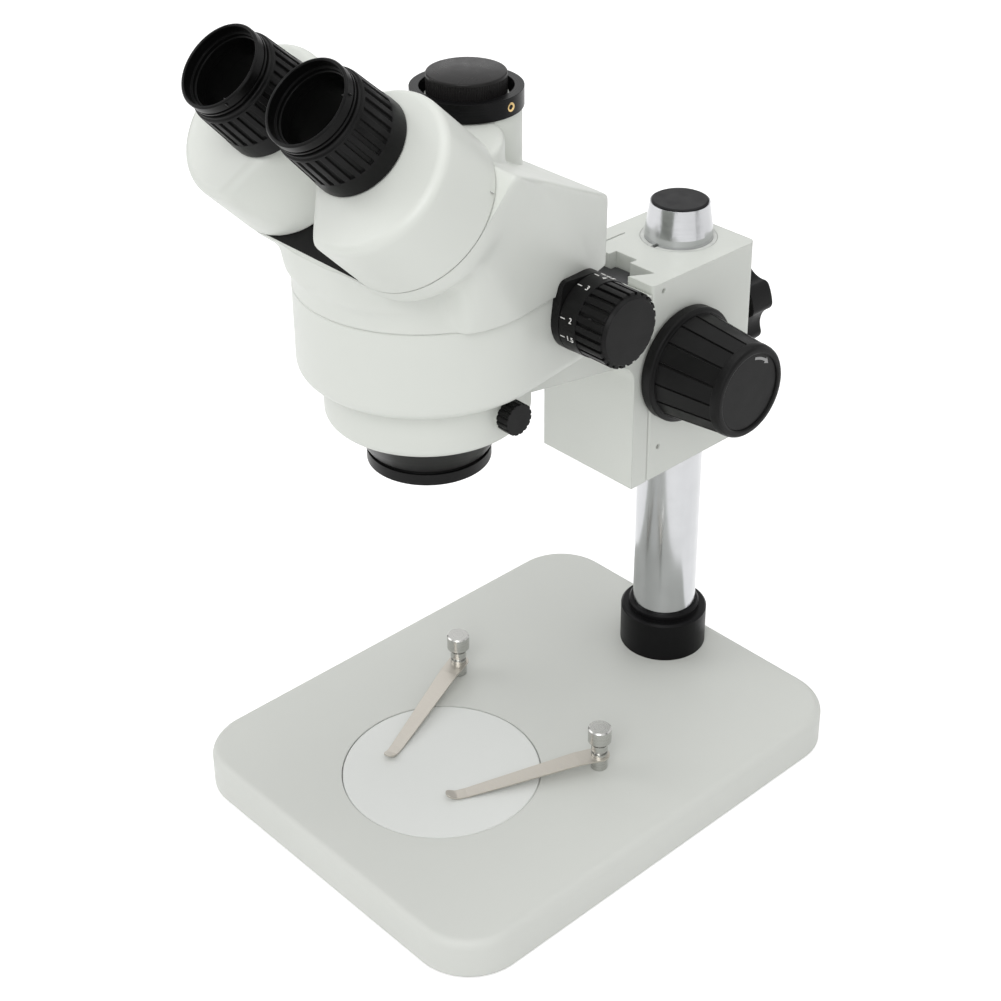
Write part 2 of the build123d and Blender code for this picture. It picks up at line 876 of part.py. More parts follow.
with BuildPart() as clamp_knob:
    with BuildSketch(
        Plane((0, clamp_knob_y, clamp_z), x_dir=(-1, 0, 0), z_dir=(0, 1, 0))
    ) as knob_star:
        Circle(clamp_knob_radius)
        scallop_ring = clamp_knob_radius + clamp_knob_scallop / 2
        with PolarLocations(scallop_ring, clamp_knob_lobes, start_angle=90 + 180 / clamp_knob_lobes):
            Circle(clamp_knob_scallop, mode=Mode.SUBTRACT)
        fillet(knob_star.vertices(), radius=clamp_knob_corner)
    extrude(amount=clamp_knob_length)
    fillet(clamp_knob.faces().sort_by(Axis.Y)[-1].edges(), radius=clamp_knob_edge)
    with BuildSketch(Plane((0, clamp_knob_y, clamp_z), x_dir=(-1, 0, 0), z_dir=(0, 1, 0))):
        Circle(clamp_stud_radius)
    extrude(amount=clamp_knob_grip, mode=Mode.SUBTRACT)
save(clamp_knob, "clamp_knob")

# Pinion shaft with its teeth cut from the same bar
shaft_reach = knob_cap_x - pinion_shaft_end_gap
with BuildPart() as pinion_shaft:
    with BuildSketch(Plane.YZ.offset(-shaft_reach)):
        with Locations((pinion_y, pinion_z)):
            Circle(pinion_shaft_radius)
    extrude(amount=2 * shaft_reach)
    with BuildSketch(Plane.YZ.offset(gear_left)):
        with Locations((pinion_y, pinion_z)):
            Circle(pinion_root)
            with PolarLocations(0, pinion_teeth):
                Polygon(
                    (pinion_root - tooth_overlap, -tooth_root_width / 2),
                    (pinion_tip, -tooth_tip_width / 2),
                    (pinion_tip, tooth_tip_width / 2),
                    (pinion_root - tooth_overlap, tooth_root_width / 2),
                    align=None,
                )
    extrude(amount=gear_width)
save(pinion_shaft, "pinion_shaft")

with BuildPart() as friction_washers:
    for name, side in sides:
        washer_x = knob_inner_x - friction_washer_thickness
        with BuildSketch(outward(side, washer_x, pinion_y, pinion_z)):
            Circle(friction_washer_radius)
            Circle(pinion_shaft_radius, mode=Mode.SUBTRACT)
        extrude(amount=friction_washer_thickness)
save(friction_washers, "friction_washers")

# Focus knobs: a round flange, then a tapered grip of flats parted by grooves
for name, side in sides:
    with BuildPart() as focus_knob:
        with BuildSketch(outward(side, knob_inner_x, pinion_y, pinion_z)):
            Circle(knob_flange_radius)
        extrude(amount=knob_flange_thickness)
        fillet(focus_knob.edges().filter_by(GeomType.CIRCLE), radius=knob_rim_bevel)
        for reach, radius in ((0, knob_root_radius), (knob_length, knob_end_radius)):
            with BuildSketch(
                outward(side, knob_inner_x + knob_flange_thickness + reach, pinion_y, pinion_z)
            ):
                RegularPolygon(radius=radius, side_count=knob_flats)
                with PolarLocations(radius, knob_flats):
                    Circle(knob_groove, mode=Mode.SUBTRACT)
        loft(ruled=True)
        with BuildSketch(outward(side, knob_cap_x, pinion_y, pinion_z)):
            Circle(knob_recess_radius)
        extrude(amount=knob_recess_depth, mode=Mode.SUBTRACT)
        with BuildSketch(outward(side, knob_cap_x, pinion_y, pinion_z)):
            Circle(knob_recess_radius - knob_rim_bevel)
            Circle(knob_hub_radius, mode=Mode.SUBTRACT)
        extrude(amount=-knob_cavity_depth, mode=Mode.SUBTRACT)
        with BuildSketch(outward(side, knob_inner_x, pinion_y, pinion_z)):
            Circle(pinion_shaft_radius)
        extrude(amount=knob_cap_x - knob_inner_x, mode=Mode.SUBTRACT)
    save(focus_knob, f"focus_knob_{name}")

    with BuildPart() as knob_cap:
        with BuildSketch(outward(side, knob_cap_x, pinion_y, pinion_z)):
            Circle(knob_recess_radius)
        extrude(amount=knob_cap_thickness)
    save(knob_cap, f"knob_cap_{name}")

# Carriage: plate in front of the block, arm and the ring that holds the head
with BuildPart() as carriage:
    with BuildSketch(Plane.YZ.offset(-half_block)) as arm_side:
        with BuildLine():
            Polyline(
                (carriage_back, block_bottom),
                (carriage_back, carriage_top),
                (carriage_front, carriage_top),
                (carriage_front, arm_top),
                (optic_y, arm_top),
                (optic_y, arm_nose_z),
                (arm_nose_y, arm_nose_z),
                (arm_root_y, arm_root_z),
                (carriage_front, arm_root_z - (carriage_front - arm_root_y) / 2),
                (carriage_front, block_bottom),
                close=True,
            )
        make_face()
    extrude(amount=block_width)
    under_arm = carriage.edges().filter_by(Axis.X).filter_by(
        lambda edge: block_bottom + level_slack < edge.center().Z < arm_nose_z
    )
    fillet(under_arm, radius=arm_fillet)
    with BuildSketch(Plane.XY.offset(ring_bottom)):
        with Locations((0, optic_y)):
            Circle(ring_radius)
    extrude(amount=arm_top - ring_bottom)
    ring_base = carriage.faces().filter_by(Axis.Z).sort_by(Axis.Z).filter_by(
        lambda face: abs(face.center().Z - ring_bottom) < level_slack
    )
    fillet(ring_base.edges(), radius=ring_edge)
    with BuildSketch(outward(1, 0, thumb_y, thumb_z)):
        Circle(thumb_boss_radius)
    extrude(amount=thumb_boss_end)
    with BuildSketch(Plane.XY.offset(ring_bottom)):
        with Locations((0, optic_y)):
            Circle(ring_bore)
    extrude(amount=arm_top - ring_bottom, mode=Mode.SUBTRACT)
    with BuildSketch(outward(1, 0, thumb_y, thumb_z)):
        Circle(thumb_stud_radius + shaft_play)
    extrude(amount=thumb_boss_end, mode=Mode.SUBTRACT)
    with BuildSketch(Plane.XZ.offset(-carriage_back)):
        with Locations(*[(x, z) for x in slide_screw_x for z in slide_screw_z]):
            Circle(slide_screw_radius)
    extrude(amount=slide_screw_depth, mode=Mode.SUBTRACT)
save(carriage, "carriage")

# Dovetail tongue with a slot for the rack
tongue_mouth = mouth_half - dovetail_play / cos(radians(dovetail_angle))
tongue_root = tongue_mouth - carriage_gap * dovetail_slope
tongue_floor = tongue_mouth + (tongue_back - block_front) * dovetail_slope
rack_back = rack_root_y - rack_body
with BuildPart() as dovetail_slide:
    extrude(
        profile(
            Plane.XY.offset(slide_bottom),
            (-tongue_root, carriage_back),
            (tongue_root, carriage_back),
            (tongue_floor, tongue_back),
            (-tongue_floor, tongue_back),
        ),
        amount=slide_top - slide_bottom,
    )
    with BuildSketch(Plane.XY.offset(slide_bottom)):
        with Locations((gear_centre_x, (rack_back + tongue_back) / 2)):
            Rectangle(gear_width, tongue_back - rack_back)
    extrude(amount=slide_top - slide_bottom, mode=Mode.SUBTRACT)
    with BuildSketch(Plane.XZ.offset(-tongue_back)):
        with Locations(*[(x, z) for x in slide_screw_x for z in slide_screw_z]):
            Circle(slide_screw_radius)
    extrude(amount=tongue_back - carriage_back, mode=Mode.SUBTRACT)
    with BuildSketch(Plane.XZ.offset(-tongue_back)):
        with Locations(*[(x, z) for x in slide_screw_x for z in slide_screw_z]):
            Circle(slide_screw_head_radius)
    extrude(amount=slide_screw_head_height, mode=Mode.SUBTRACT)
save(dovetail_slide, "dovetail_slide")

slide_screw_reach = (
    tongue_back - slide_screw_head_height - carriage_back + slide_screw_depth - slide_screw_end_gap
)
with BuildPart() as slide_screws:
    with BuildSketch(Plane.XZ.offset(-tongue_back)):
        with Locations(*[(x, z) for x in slide_screw_x for z in slide_screw_z]):
            Circle(slide_screw_head_radius)
    extrude(amount=slide_screw_head_height)
    with BuildSketch(Plane.XZ.offset(slide_screw_head_height - tongue_back)):
        with Locations(*[(x, z) for x in slide_screw_x for z in slide_screw_z]):
            Circle(slide_screw_radius)
    extrude(amount=slide_screw_reach)
save(slide_screws, "slide_screws")

# Gear rack: teeth spaced so that a pinion tooth points into a gap at rest
teeth_up = int((slide_top - pinion_z) / rack_pitch - 1 / 2)
teeth_down = int((pinion_z - slide_bottom) / rack_pitch - 1 / 2)
tooth_heights = [
    pinion_z + (step + 1 / 2) * rack_pitch for step in range(-teeth_down - 1, teeth_up + 1)
]
with BuildPart() as gear_rack:
    with BuildSketch(Plane.YZ.offset(gear_left)):
        with Locations(((rack_back + rack_root_y) / 2, (slide_bottom + slide_top) / 2)):
            Rectangle(rack_root_y - rack_back, slide_top - slide_bottom)
        with Locations(*[(rack_root_y, height) for height in tooth_heights]):
            Polygon(
                (-tooth_overlap, -tooth_root_width / 2),
                (rack_tip_y - rack_root_y, -tooth_tip_width / 2),
                (rack_tip_y - rack_root_y, tooth_tip_width / 2),
                (-tooth_overlap, tooth_root_width / 2),
                align=None,
            )
    extrude(amount=gear_width)
save(gear_rack, "gear_rack")

# Thumb screw
thumb_knob_x = thumb_boss_end + turn_gap
with BuildPart() as thumb_stud:
    with BuildSketch(outward(1, thumb_stud_tip, thumb_y, thumb_z)):
        Circle(thumb_stud_radius)
    extrude(amount=thumb_knob_x - thumb_stud_tip + thumb_knob_length / 2)
save(thumb_stud, "thumb_stud")

with BuildPart() as thumb_knob:
    with BuildSketch(outward(1, thumb_knob_x, thumb_y, thumb_z)):
        Circle(thumb_knob_radius)
        with PolarLocations(thumb_knob_radius, thumb_knob_notches):
            Circle(thumb_knob_notch, mode=Mode.SUBTRACT)
    extrude(amount=thumb_knob_length)
    with BuildSketch(outward(1, thumb_knob_x, thumb_y, thumb_z)):
        Circle(thumb_stud_radius)
    extrude(amount=thumb_knob_length / 2, mode=Mode.SUBTRACT)
save(thumb_knob, "thumb_knob")

# Head spigot that turns in the ring, and the objective cell below it
with BuildPart() as head_spigot:
    revolve(
        turned(
            0,
            optic_y,
            (spigot_radius - spigot_wall, spigot_bottom),
            (spigot_radius, spigot_bottom),
            (spigot_radius, head_bottom),
            (spigot_radius - spigot_wall, head_bottom),
        ),
        axis=upright(0, optic_y),
    )
save(head_spigot, "head_spigot")

band_top = objective_bottom + objective_band_height
neck_top = band_top + objective_neck_height
lens_seat_z = band_top + objective_lens_seat
with BuildPart() as objective_cell:
    revolve(
        turned(
            0,
            optic_y,
            (objective_thread_radius, objective_bottom),
            (objective_band_radius, objective_bottom),
            (objective_band_radius, band_top),
            (objective_neck_radius, band_top),
            (objective_neck_radius, neck_top),
            (objective_band_radius, neck_top),
            (objective_cone_radius, spigot_bottom),
            (objective_cone_radius - objective_wall, spigot_bottom),
            (objective_thread_radius, lens_seat_z),
            (objective_throat_radius, lens_seat_z),
            (objective_throat_radius, band_top),
            (objective_thread_radius, band_top),
        ),
        axis=upright(0, optic_y),
    )
save(objective_cell, "objective_cell")

with BuildPart() as objective_lens:
    revolve(
        lens(
            0,
            optic_y,
            lens_seat_z,
            objective_thread_radius - fit_play,
            objective_throat_radius - fit_play,
            objective_lens_edge,
            objective_lens_crown,
        ),
        axis=upright(0, optic_y),
    )
save(objective_lens, "objective_lens")

# Lower casing: a deep tray, rounded underneath
with BuildPart() as zoom_body_lower:
    extrude(
        casing_plan(head_bottom, lower_rear_y, lower_rear_corner), amount=seam_z - head_bottom
    )
    fillet(zoom_body_lower.faces().sort_by(Axis.Z)[0].edges(), radius=lower_bottom_edge)
    chamfer(zoom_body_lower.faces().sort_by(Axis.Z)[-1].edges(), length=seam_bevel)
    extrude(
        casing_plan(head_bottom + body_wall, lower_rear_y, lower_rear_corner, body_wall),
        amount=seam_z - head_bottom - body_wall,
        mode=Mode.SUBTRACT,
    )
    with BuildSketch(Plane.XY.offset(head_bottom)):
        with Locations((0, optic_y)):
            Circle(floor_opening_radius)
    extrude(amount=body_wall, mode=Mode.SUBTRACT)
    with BuildSketch(Plane.YZ.offset(-body_radius)):
        with Locations((zoom_y, zoom_z)):
            Circle(zoom_shaft_radius + screw_play)
    extrude(amount=2 * body_radius, mode=Mode.SUBTRACT)
save(zoom_body_lower, "zoom_body_lower")

# Front wall and chin of the upper casing, up to the prism seat
with BuildPart() as front_wall:
    with BuildSketch(Plane.XY.offset(chin_bottom)):
        with Locations((0, prism_y - seat_radius * up_the_face[1] + chin_radius)):
            Circle(chin_radius)
    extrude(amount=ridge_z - chin_bottom)
    fillet(front_wall.faces().sort_by(Axis.Z)[0].edges(), radius=chin_edge)
    chin_top = prism_z - seat_radius * up_the_face[2] - seat_straight * eye_direction[2]
    extrude(casing_plan(seam_z, upper_rear_y, upper_rear_corner), amount=chin_top - seam_z)
    split(bisect_by=seat_plane.offset(-seat_straight), keep=Keep.BOTTOM)

# Outside of the upper casing: sloping roof behind, seat for the prisms in front
with BuildPart() as casing_outside:
    extrude(casing_plan(seam_z, upper_rear_y, upper_rear_corner), amount=ridge_z - seam_z)
    split(bisect_by=roof_plane, keep=Keep.BOTTOM)
    split(bisect_by=face_plane, keep=Keep.BOTTOM)
    fillet(casing_outside.faces().sort_by(Axis.Z)[-1].edges(), radius=roof_edge)
    add(front_wall.part)
    with BuildSketch(seat_plane.offset(-turn_gap)):
        SlotCenterToCenter(2 * prism_x, 2 * seat_radius)
    extrude(amount=turn_gap - seat_straight)
    for depth, radius in (
        (seat_straight, seat_radius),
        (seat_straight + seat_taper, seat_radius - seat_taper),
    ):
        with BuildSketch(seat_plane.offset(-depth)):
            SlotCenterToCenter(2 * prism_x, 2 * radius)
    loft()

seat_floor = turn_gap + seat_plate_thickness
with BuildPart() as casing_inside:
    extrude(
        casing_plan(seam_z, upper_rear_y, upper_rear_corner, body_wall), amount=ridge_z - seam_z
    )
    split(bisect_by=roof_plane.offset(-body_wall), keep=Keep.BOTTOM)
    split(bisect_by=face_plane.offset(-body_wall), keep=Keep.BOTTOM)

with BuildPart() as zoom_body_upper:
    add(casing_outside.part)
    add(casing_inside.part, mode=Mode.SUBTRACT)
    with BuildSketch(seat_plane.offset(-turn_gap)):
        SlotCenterToCenter(2 * prism_x, 2 * (seat_plate_radius + fit_play))
    extrude(amount=-seat_plate_thickness, mode=Mode.SUBTRACT)
    with BuildSketch(seat_plane.offset(-seat_floor)):
        SlotCenterToCenter(2 * prism_x, 2 * (seat_radius - seat_pocket_wall))
        with Locations((-prism_x, 0), (prism_x, 0)):
            Circle(housing_spigot_radius + seat_boss_wall, mode=Mode.SUBTRACT)
    extrude(amount=-seat_pocket_depth, mode=Mode.SUBTRACT)
    with BuildSketch(seat_plane):
        with Locations((-prism_x, 0), (prism_x, 0)):
            Circle(housing_spigot_radius + fit_play)
    extrude(amount=-housing_spigot_length - turn_gap, mode=Mode.SUBTRACT)
    with BuildSketch(seat_plane):
        with Locations((-prism_x, 0), (prism_x, 0)):
            Circle(light_path_radius)
    extrude(amount=-light_path_depth, mode=Mode.SUBTRACT)
    with BuildSketch(Plane.XY.offset(slider_z)):
        with Locations((0, port_y)):
            Circle(port_stop_radius)
    extrude(amount=ridge_z - slider_z, mode=Mode.SUBTRACT)
    with BuildSketch(Plane.XY.offset(port_stop_z)):
        with Locations((0, port_y)):
            Circle(port_bore)
    extrude(amount=ridge_z - port_stop_z, mode=Mode.SUBTRACT)
    with BuildSketch(Plane.YZ.offset(-body_radius)):
        with Locations((slider_y, slider_z)):
            Circle(slider_rod_radius + shaft_play)
    extrude(amount=body_radius, mode=Mode.SUBTRACT)
save(zoom_body_upper, "zoom_body_upper")

with BuildPart() as prism_seat_plate:
    with BuildSketch(seat_plane.offset(-turn_gap)):
        SlotCenterToCenter(2 * prism_x, 2 * seat_plate_radius)
        with Locations((-prism_x, 0), (prism_x, 0)):
            Circle(housing_spigot_radius + fit_play, mode=Mode.SUBTRACT)
    extrude(amount=-seat_plate_thickness)
save(prism_seat_plate, "prism_seat_plate")

# Prism housings, eyepiece tubes and diopter rings
housing_draft = degrees(atan2(housing_radius - housing_face_radius, housing_length))
rim_bottom = socket_end - rim_length
ring_bottom_n = housing_length + turn_gap
ring_top_n = rim_bottom - turn_gap
for name, side in sides:
    seat = housing_plane(side)
    chord_angle = housing_chord_angle - 180 if side > 0 else -housing_chord_angle
    chord_way = (cos(radians(chord_angle)), sin(radians(chord_angle)))
    with BuildPart() as prism_housing:
        with BuildSketch(seat) as housing_outline:
            Circle(housing_radius)
            with Locations(
                (
                    (housing_chord + housing_radius) * chord_way[0],
                    (housing_chord + housing_radius) * chord_way[1],
                )
            ):
                Rectangle(
                    2 * housing_radius, 2 * housing_radius, rotation=chord_angle, mode=Mode.SUBTRACT
                )
            fillet(housing_outline.vertices(), radius=housing_corner)
        extrude(amount=housing_length, taper=housing_draft)
        outer_face = prism_housing.faces().sort_by(Axis(seat.origin, seat.z_dir))[-1]
        fillet(outer_face.edges(), radius=housing_edge)
        with BuildSketch(seat.offset(housing_wall)) as housing_hollow:
            Circle(housing_face_radius - housing_wall)
            with Locations(
                (
                    (housing_chord - housing_wall + housing_radius) * chord_way[0],
                    (housing_chord - housing_wall + housing_radius) * chord_way[1],
                )
            ):
                Rectangle(
                    2 * housing_radius, 2 * housing_radius, rotation=chord_angle, mode=Mode.SUBTRACT
                )
            fillet(housing_hollow.vertices(), radius=housing_corner - housing_wall)
        extrude(amount=housing_length - 2 * housing_wall, mode=Mode.SUBTRACT)
        with BuildSketch(seat):
            Circle(housing_spigot_radius)
        extrude(amount=-housing_spigot_length)
        with BuildSketch(seat.offset(-housing_spigot_length)):
            Circle(housing_spigot_bore)
        extrude(amount=housing_spigot_length + housing_wall, mode=Mode.SUBTRACT)
        with BuildSketch(eye_plane(side, housing_length - housing_wall)):
            Circle(tube_radius)
        extrude(amount=housing_wall, mode=Mode.SUBTRACT)
    save(prism_housing, f"prism_housing_{name}")

    with BuildPart() as erecting_prism:
        with BuildSketch(seat.offset(housing_wall)) as prism_foot:
            with Locations((-side * prism_block_shift[0], prism_block_shift[1])):
                Rectangle(prism_block[0], prism_block[1])
            chamfer(prism_foot.vertices(), length=prism_block_bevel)
        extrude(amount=prism_block[2])
    save(erecting_prism, f"erecting_prism_{name}")

    with BuildPart() as eyepiece_tube:
        revolve(
            eye_turned(
                side,
                (socket_stop_radius, housing_length - housing_wall),
                (tube_radius, housing_length - housing_wall),
                (tube_radius, rim_bottom),
                (rim_radius, rim_bottom),
                (rim_radius, rim_bottom + rim_groove_width),
                (rim_radius - rim_groove_depth, rim_bottom + rim_groove_width),
                (rim_radius - rim_groove_depth, rim_bottom + 2 * rim_groove_width),
                (rim_radius, rim_bottom + 2 * rim_groove_width),
                (rim_radius, socket_end - rim_groove_depth),
                (rim_radius - rim_groove_depth, socket_end),
                (socket_radius, socket_end),
                (socket_radius, socket_end - socket_depth),
                (socket_stop_radius, socket_end - socket_depth),
            ),
            axis=eye_axis(side),
        )
    save(eyepiece_tube, f"eyepiece_tube_{name}")

    with BuildPart() as diopter_ring:
        revolve(
            eye_turned(
                side,
                (tube_radius + fit_play, ring_bottom_n),
                (skirt_radius, ring_bottom_n),
                (rib_radius_low, ring_bottom_n + skirt_length),
                (rib_radius_high, ring_top_n - ring_head_length),
                (ring_head_radius, ring_top_n - ring_head_length),
                (ring_head_radius, ring_top_n),
                (tube_radius + fit_play, ring_top_n),
            ),
            axis=eye_axis(side),
        )
        with BuildSketch(eye_plane(side, ring_bottom_n + skirt_length)):
            with PolarLocations(rib_radius_low + rib_groove_width / 2 - rib_groove_depth, rib_count):
                Rectangle(rib_groove_width, rib_groove_width)
        extrude(amount=ring_top_n - ring_bottom_n - skirt_length, mode=Mode.SUBTRACT)
    save(diopter_ring, f"diopter_ring_{name}")

# Photo port: tube on the roof, flange, relay lens and dust cap
with BuildPart() as port_tube:
    revolve(
        turned(
            0,
            port_y,
            (port_stop_radius, port_bottom),
            (port_radius, port_bottom),
            (port_radius, port_top),
            (port_neck_radius, port_top),
            (port_neck_radius, port_neck_top),
            (port_bore, port_neck_top),
            (port_bore, port_stop_z),
            (port_stop_radius, port_stop_z),
        ),
        axis=upright(0, port_y),
    )
    add(casing_outside.part, mode=Mode.SUBTRACT)
    add(casing_inside.part, mode=Mode.SUBTRACT)
save(port_tube, "port_tube")

with BuildPart() as port_flange:
    revolve(
        turned(
            0,
            port_y,
            (port_neck_radius, port_top),
            (port_flange_radius, port_top),
            (port_flange_radius, port_top + port_flange_height),
            (port_flange_bore, port_top + port_flange_height),
            (port_flange_bore, port_top + port_flange_web),
            (port_neck_radius, port_top + port_flange_web),
        ),
        axis=upright(0, port_y),
    )
save(port_flange, "port_flange")

with BuildPart() as relay_lens:
    revolve(
        lens(
            0,
            port_y,
            port_stop_z,
            port_bore,
            port_stop_radius - fit_play,
            relay_lens_edge,
            relay_lens_crown,
        ),
        axis=upright(0, port_y),
    )
save(relay_lens, "relay_lens")

cap_bottom = port_neck_top + fit_play
with BuildPart() as port_cap:
    revolve(
        turned(
            0,
            port_y,
            (0, cap_bottom),
            (port_bore - fit_play - port_cap_wall, cap_bottom),
            (port_bore - fit_play - port_cap_wall, cap_bottom - port_cap_plug),
            (port_bore - fit_play, cap_bottom - port_cap_plug),
            (port_bore - fit_play, cap_bottom),
            (port_cap_radius, cap_bottom),
            (port_cap_radius, cap_bottom + port_cap_height - port_cap_edge),
            (port_cap_radius - port_cap_edge, cap_bottom + port_cap_height),
            (0, cap_bottom + port_cap_height),
        ),
        axis=upright(0, port_y),
    )
save(port_cap, "port_cap")

# Zoom control: bezels on the flanks, a cross shaft and two knobs
wall_angle = radians(body_wall_angle)
wall_x = (body_radius - (zoom_y - optic_y) * sin(wall_angle)) / cos(wall_angle)
shaft_end = zoom_knob_x + zoom_shaft_entry
for name, side in sides:
    with BuildPart() as zoom_bezel:
        with BuildSketch(outward(side, wall_x - bezel_radius, zoom_y, zoom_z)):
            Circle(bezel_radius)
            tail_angle = radians(bezel_tail_angle if side > 0 else 180 - bezel_tail_angle)
            with Locations(
                (
                    (bezel_tail_reach - bezel_tail_radius) * cos(tail_angle),
                    (bezel_tail_reach - bezel_tail_radius) * sin(tail_angle),
                )
            ):
                Circle(bezel_tail_radius)
            make_hull()
            Circle(zoom_shaft_radius + shaft_play, mode=Mode.SUBTRACT)
        extrude(amount=bezel_face_x - wall_x + bezel_radius)
        flank = Plane(
            (side * wall_x, zoom_y, zoom_z),
            x_dir=(0, 0, 1),
            z_dir=(side * bezel_seat_normal[0], bezel_seat_normal[1], 0),
        )
        split(bisect_by=flank, keep=Keep.TOP)
    save(zoom_bezel, f"zoom_bezel_{name}")

    with BuildPart() as zoom_knob:
        with BuildSketch(outward(side, zoom_knob_x, zoom_y, zoom_z)):
            Circle(dial_radius)
        with BuildSketch(outward(side, zoom_knob_x + dial_length, zoom_y, zoom_z)):
            Circle(dial_end_radius)
        loft()
        with BuildSketch(outward(side, zoom_knob_x + dial_length, zoom_y, zoom_z)):
            Circle(grip_radius)
            with PolarLocations(grip_radius, grip_grooves):
                Rectangle(2 * grip_groove_depth, grip_groove_width, mode=Mode.SUBTRACT)
        extrude(amount=grip_length)
        with BuildSketch(outward(side, zoom_knob_x + dial_length + grip_length, zoom_y, zoom_z)):
            Circle(grip_radius - grip_groove_depth)
        with BuildSketch(
            outward(side, zoom_knob_x + dial_length + grip_length + knob_nose_length, zoom_y, zoom_z)
        ):
            Circle(knob_nose_radius)
        loft()
        with BuildSketch(outward(side, zoom_knob_x, zoom_y, zoom_z)):
            Circle(grip_radius - grip_groove_depth - zoom_knob_wall)
            Circle(zoom_hub_radius, mode=Mode.SUBTRACT)
        extrude(amount=dial_length + grip_length - zoom_knob_wall, mode=Mode.SUBTRACT)
        with BuildSketch(outward(side, zoom_knob_x, zoom_y, zoom_z)):
            Circle(zoom_shaft_radius)
        extrude(amount=zoom_shaft_entry, mode=Mode.SUBTRACT)
    save(zoom_knob, f"zoom_knob_{name}")

with BuildPart() as zoom_shaft:
    with BuildSketch(Plane.YZ.offset(-shaft_end)):
        with Locations((zoom_y, zoom_z)):
            Circle(zoom_shaft_radius)
    extrude(amount=2 * shaft_end)
save(zoom_shaft, "zoom_shaft")

# Zoom barrels: one for each eye, standing on the floor of the casing
with BuildPart() as zoom_barrels:
    for name, side in sides:
        revolve(
            turned(
                side * channel_x,
                optic_y,
                (barrel_bore, barrel_bottom),
                (barrel_radius, barrel_bottom),
                (barrel_radius, barrel_bottom + barrel_length),
                (barrel_bore, barrel_bottom + barrel_length),
            ),
            axis=upright(side * channel_x, optic_y),
        )
    with BuildSketch(Plane.XY.offset(barrel_bottom)):
        with Locations((0, optic_y)):
            Circle(floor_opening_radius + body_wall)
        with Locations((-channel_x, optic_y), (channel_x, optic_y)):
            Circle(barrel_bore, mode=Mode.SUBTRACT)
    extrude(amount=body_wall)
save(zoom_barrels, "zoom_barrels")

with BuildPart() as zoom_lenses:
    for name, side in sides:
        for level in barrel_lens_levels:
            with BuildSketch(Plane.XY.offset(barrel_bottom + level)):
                with Locations((side * channel_x, optic_y)):
                    Circle(barrel_bore)
            extrude(amount=barrel_lens_edge)
save(zoom_lenses, "zoom_lenses")

# Light path slider: a prism on a rod that is pulled out at the left
rod_knob_x = body_radius + slider_knob_gap
with BuildPart() as splitter_prism:
    with BuildSketch(Plane.XY.offset(slider_z - slider_block / 2)):
        with Locations((slider_block_x, slider_y)):
            Rectangle(slider_block, slider_block)
    extrude(amount=slider_block)
save(splitter_prism, "splitter_prism")

with BuildPart() as splitter_rod:
    with BuildSketch(outward(-1, slider_block / 2 - slider_block_x, slider_y, slider_z)):
        Circle(slider_rod_radius)
    extrude(amount=rod_knob_x + slider_block_x - slider_block / 2)
    with BuildSketch(outward(-1, rod_knob_x, slider_y, slider_z)):
        Circle(slider_knob_radius)
    extrude(amount=slider_knob_length)
save(splitter_rod, "splitter_rod")
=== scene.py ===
import json
from math import cos, pi, radians, sin, tan

import bmesh
import bpy
import numpy as np
from mathutils import Matrix, Vector


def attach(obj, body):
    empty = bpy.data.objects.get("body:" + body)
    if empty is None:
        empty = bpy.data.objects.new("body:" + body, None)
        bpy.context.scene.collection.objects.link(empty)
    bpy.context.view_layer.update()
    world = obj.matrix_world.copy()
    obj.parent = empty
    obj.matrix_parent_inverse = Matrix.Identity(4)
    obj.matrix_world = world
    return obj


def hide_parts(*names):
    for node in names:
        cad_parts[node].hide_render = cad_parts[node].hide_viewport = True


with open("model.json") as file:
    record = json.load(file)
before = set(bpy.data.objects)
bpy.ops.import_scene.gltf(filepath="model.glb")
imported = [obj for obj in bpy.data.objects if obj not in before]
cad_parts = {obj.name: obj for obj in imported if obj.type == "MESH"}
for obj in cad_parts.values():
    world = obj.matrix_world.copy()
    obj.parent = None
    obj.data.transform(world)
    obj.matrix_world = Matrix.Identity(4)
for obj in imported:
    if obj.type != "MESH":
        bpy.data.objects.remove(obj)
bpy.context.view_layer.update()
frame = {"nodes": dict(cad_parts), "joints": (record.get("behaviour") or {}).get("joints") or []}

nodes = frame["nodes"]
MM = 0.001

# Directions, and places on the axes of the CAD model in mm
UP = (0, 0, 1)
ACROSS = (1, 0, 0)
EYE_LINE = (0, -0.70711, 0.70711)
OPTIC = (0, -54, 0)
PORT = (0, -29, 0)
PILLAR = (0, 102.4, 0)
ZOOM = (0, -15, 272)
PINION = (0, 74.5, 205.5)

# Camera, as solved from the photograph's perspective
PHOTO_SIDE = 1001
PHOTO_FOCAL = 1933.9
PHOTO_CENTRE_Y = 370.5
SENSOR = 36.0
CAMERA_AZIMUTH = 47.17
CAMERA_ELEVATION = 28.819
CAMERA_ROLL = -0.455
CAMERA_PLACE = (0.5453, -0.5172, 0.6306)


def linear(red, green, blue):
    """A display colour, 0 to 255, as the linear colour that shaders take."""
    channels = []
    for level in (red / 255, green / 255, blue / 255):
        channels.append(level / 12.92 if level <= 0.04045 else ((level + 0.055) / 1.055) ** 2.4)
    return (*channels, 1.0)


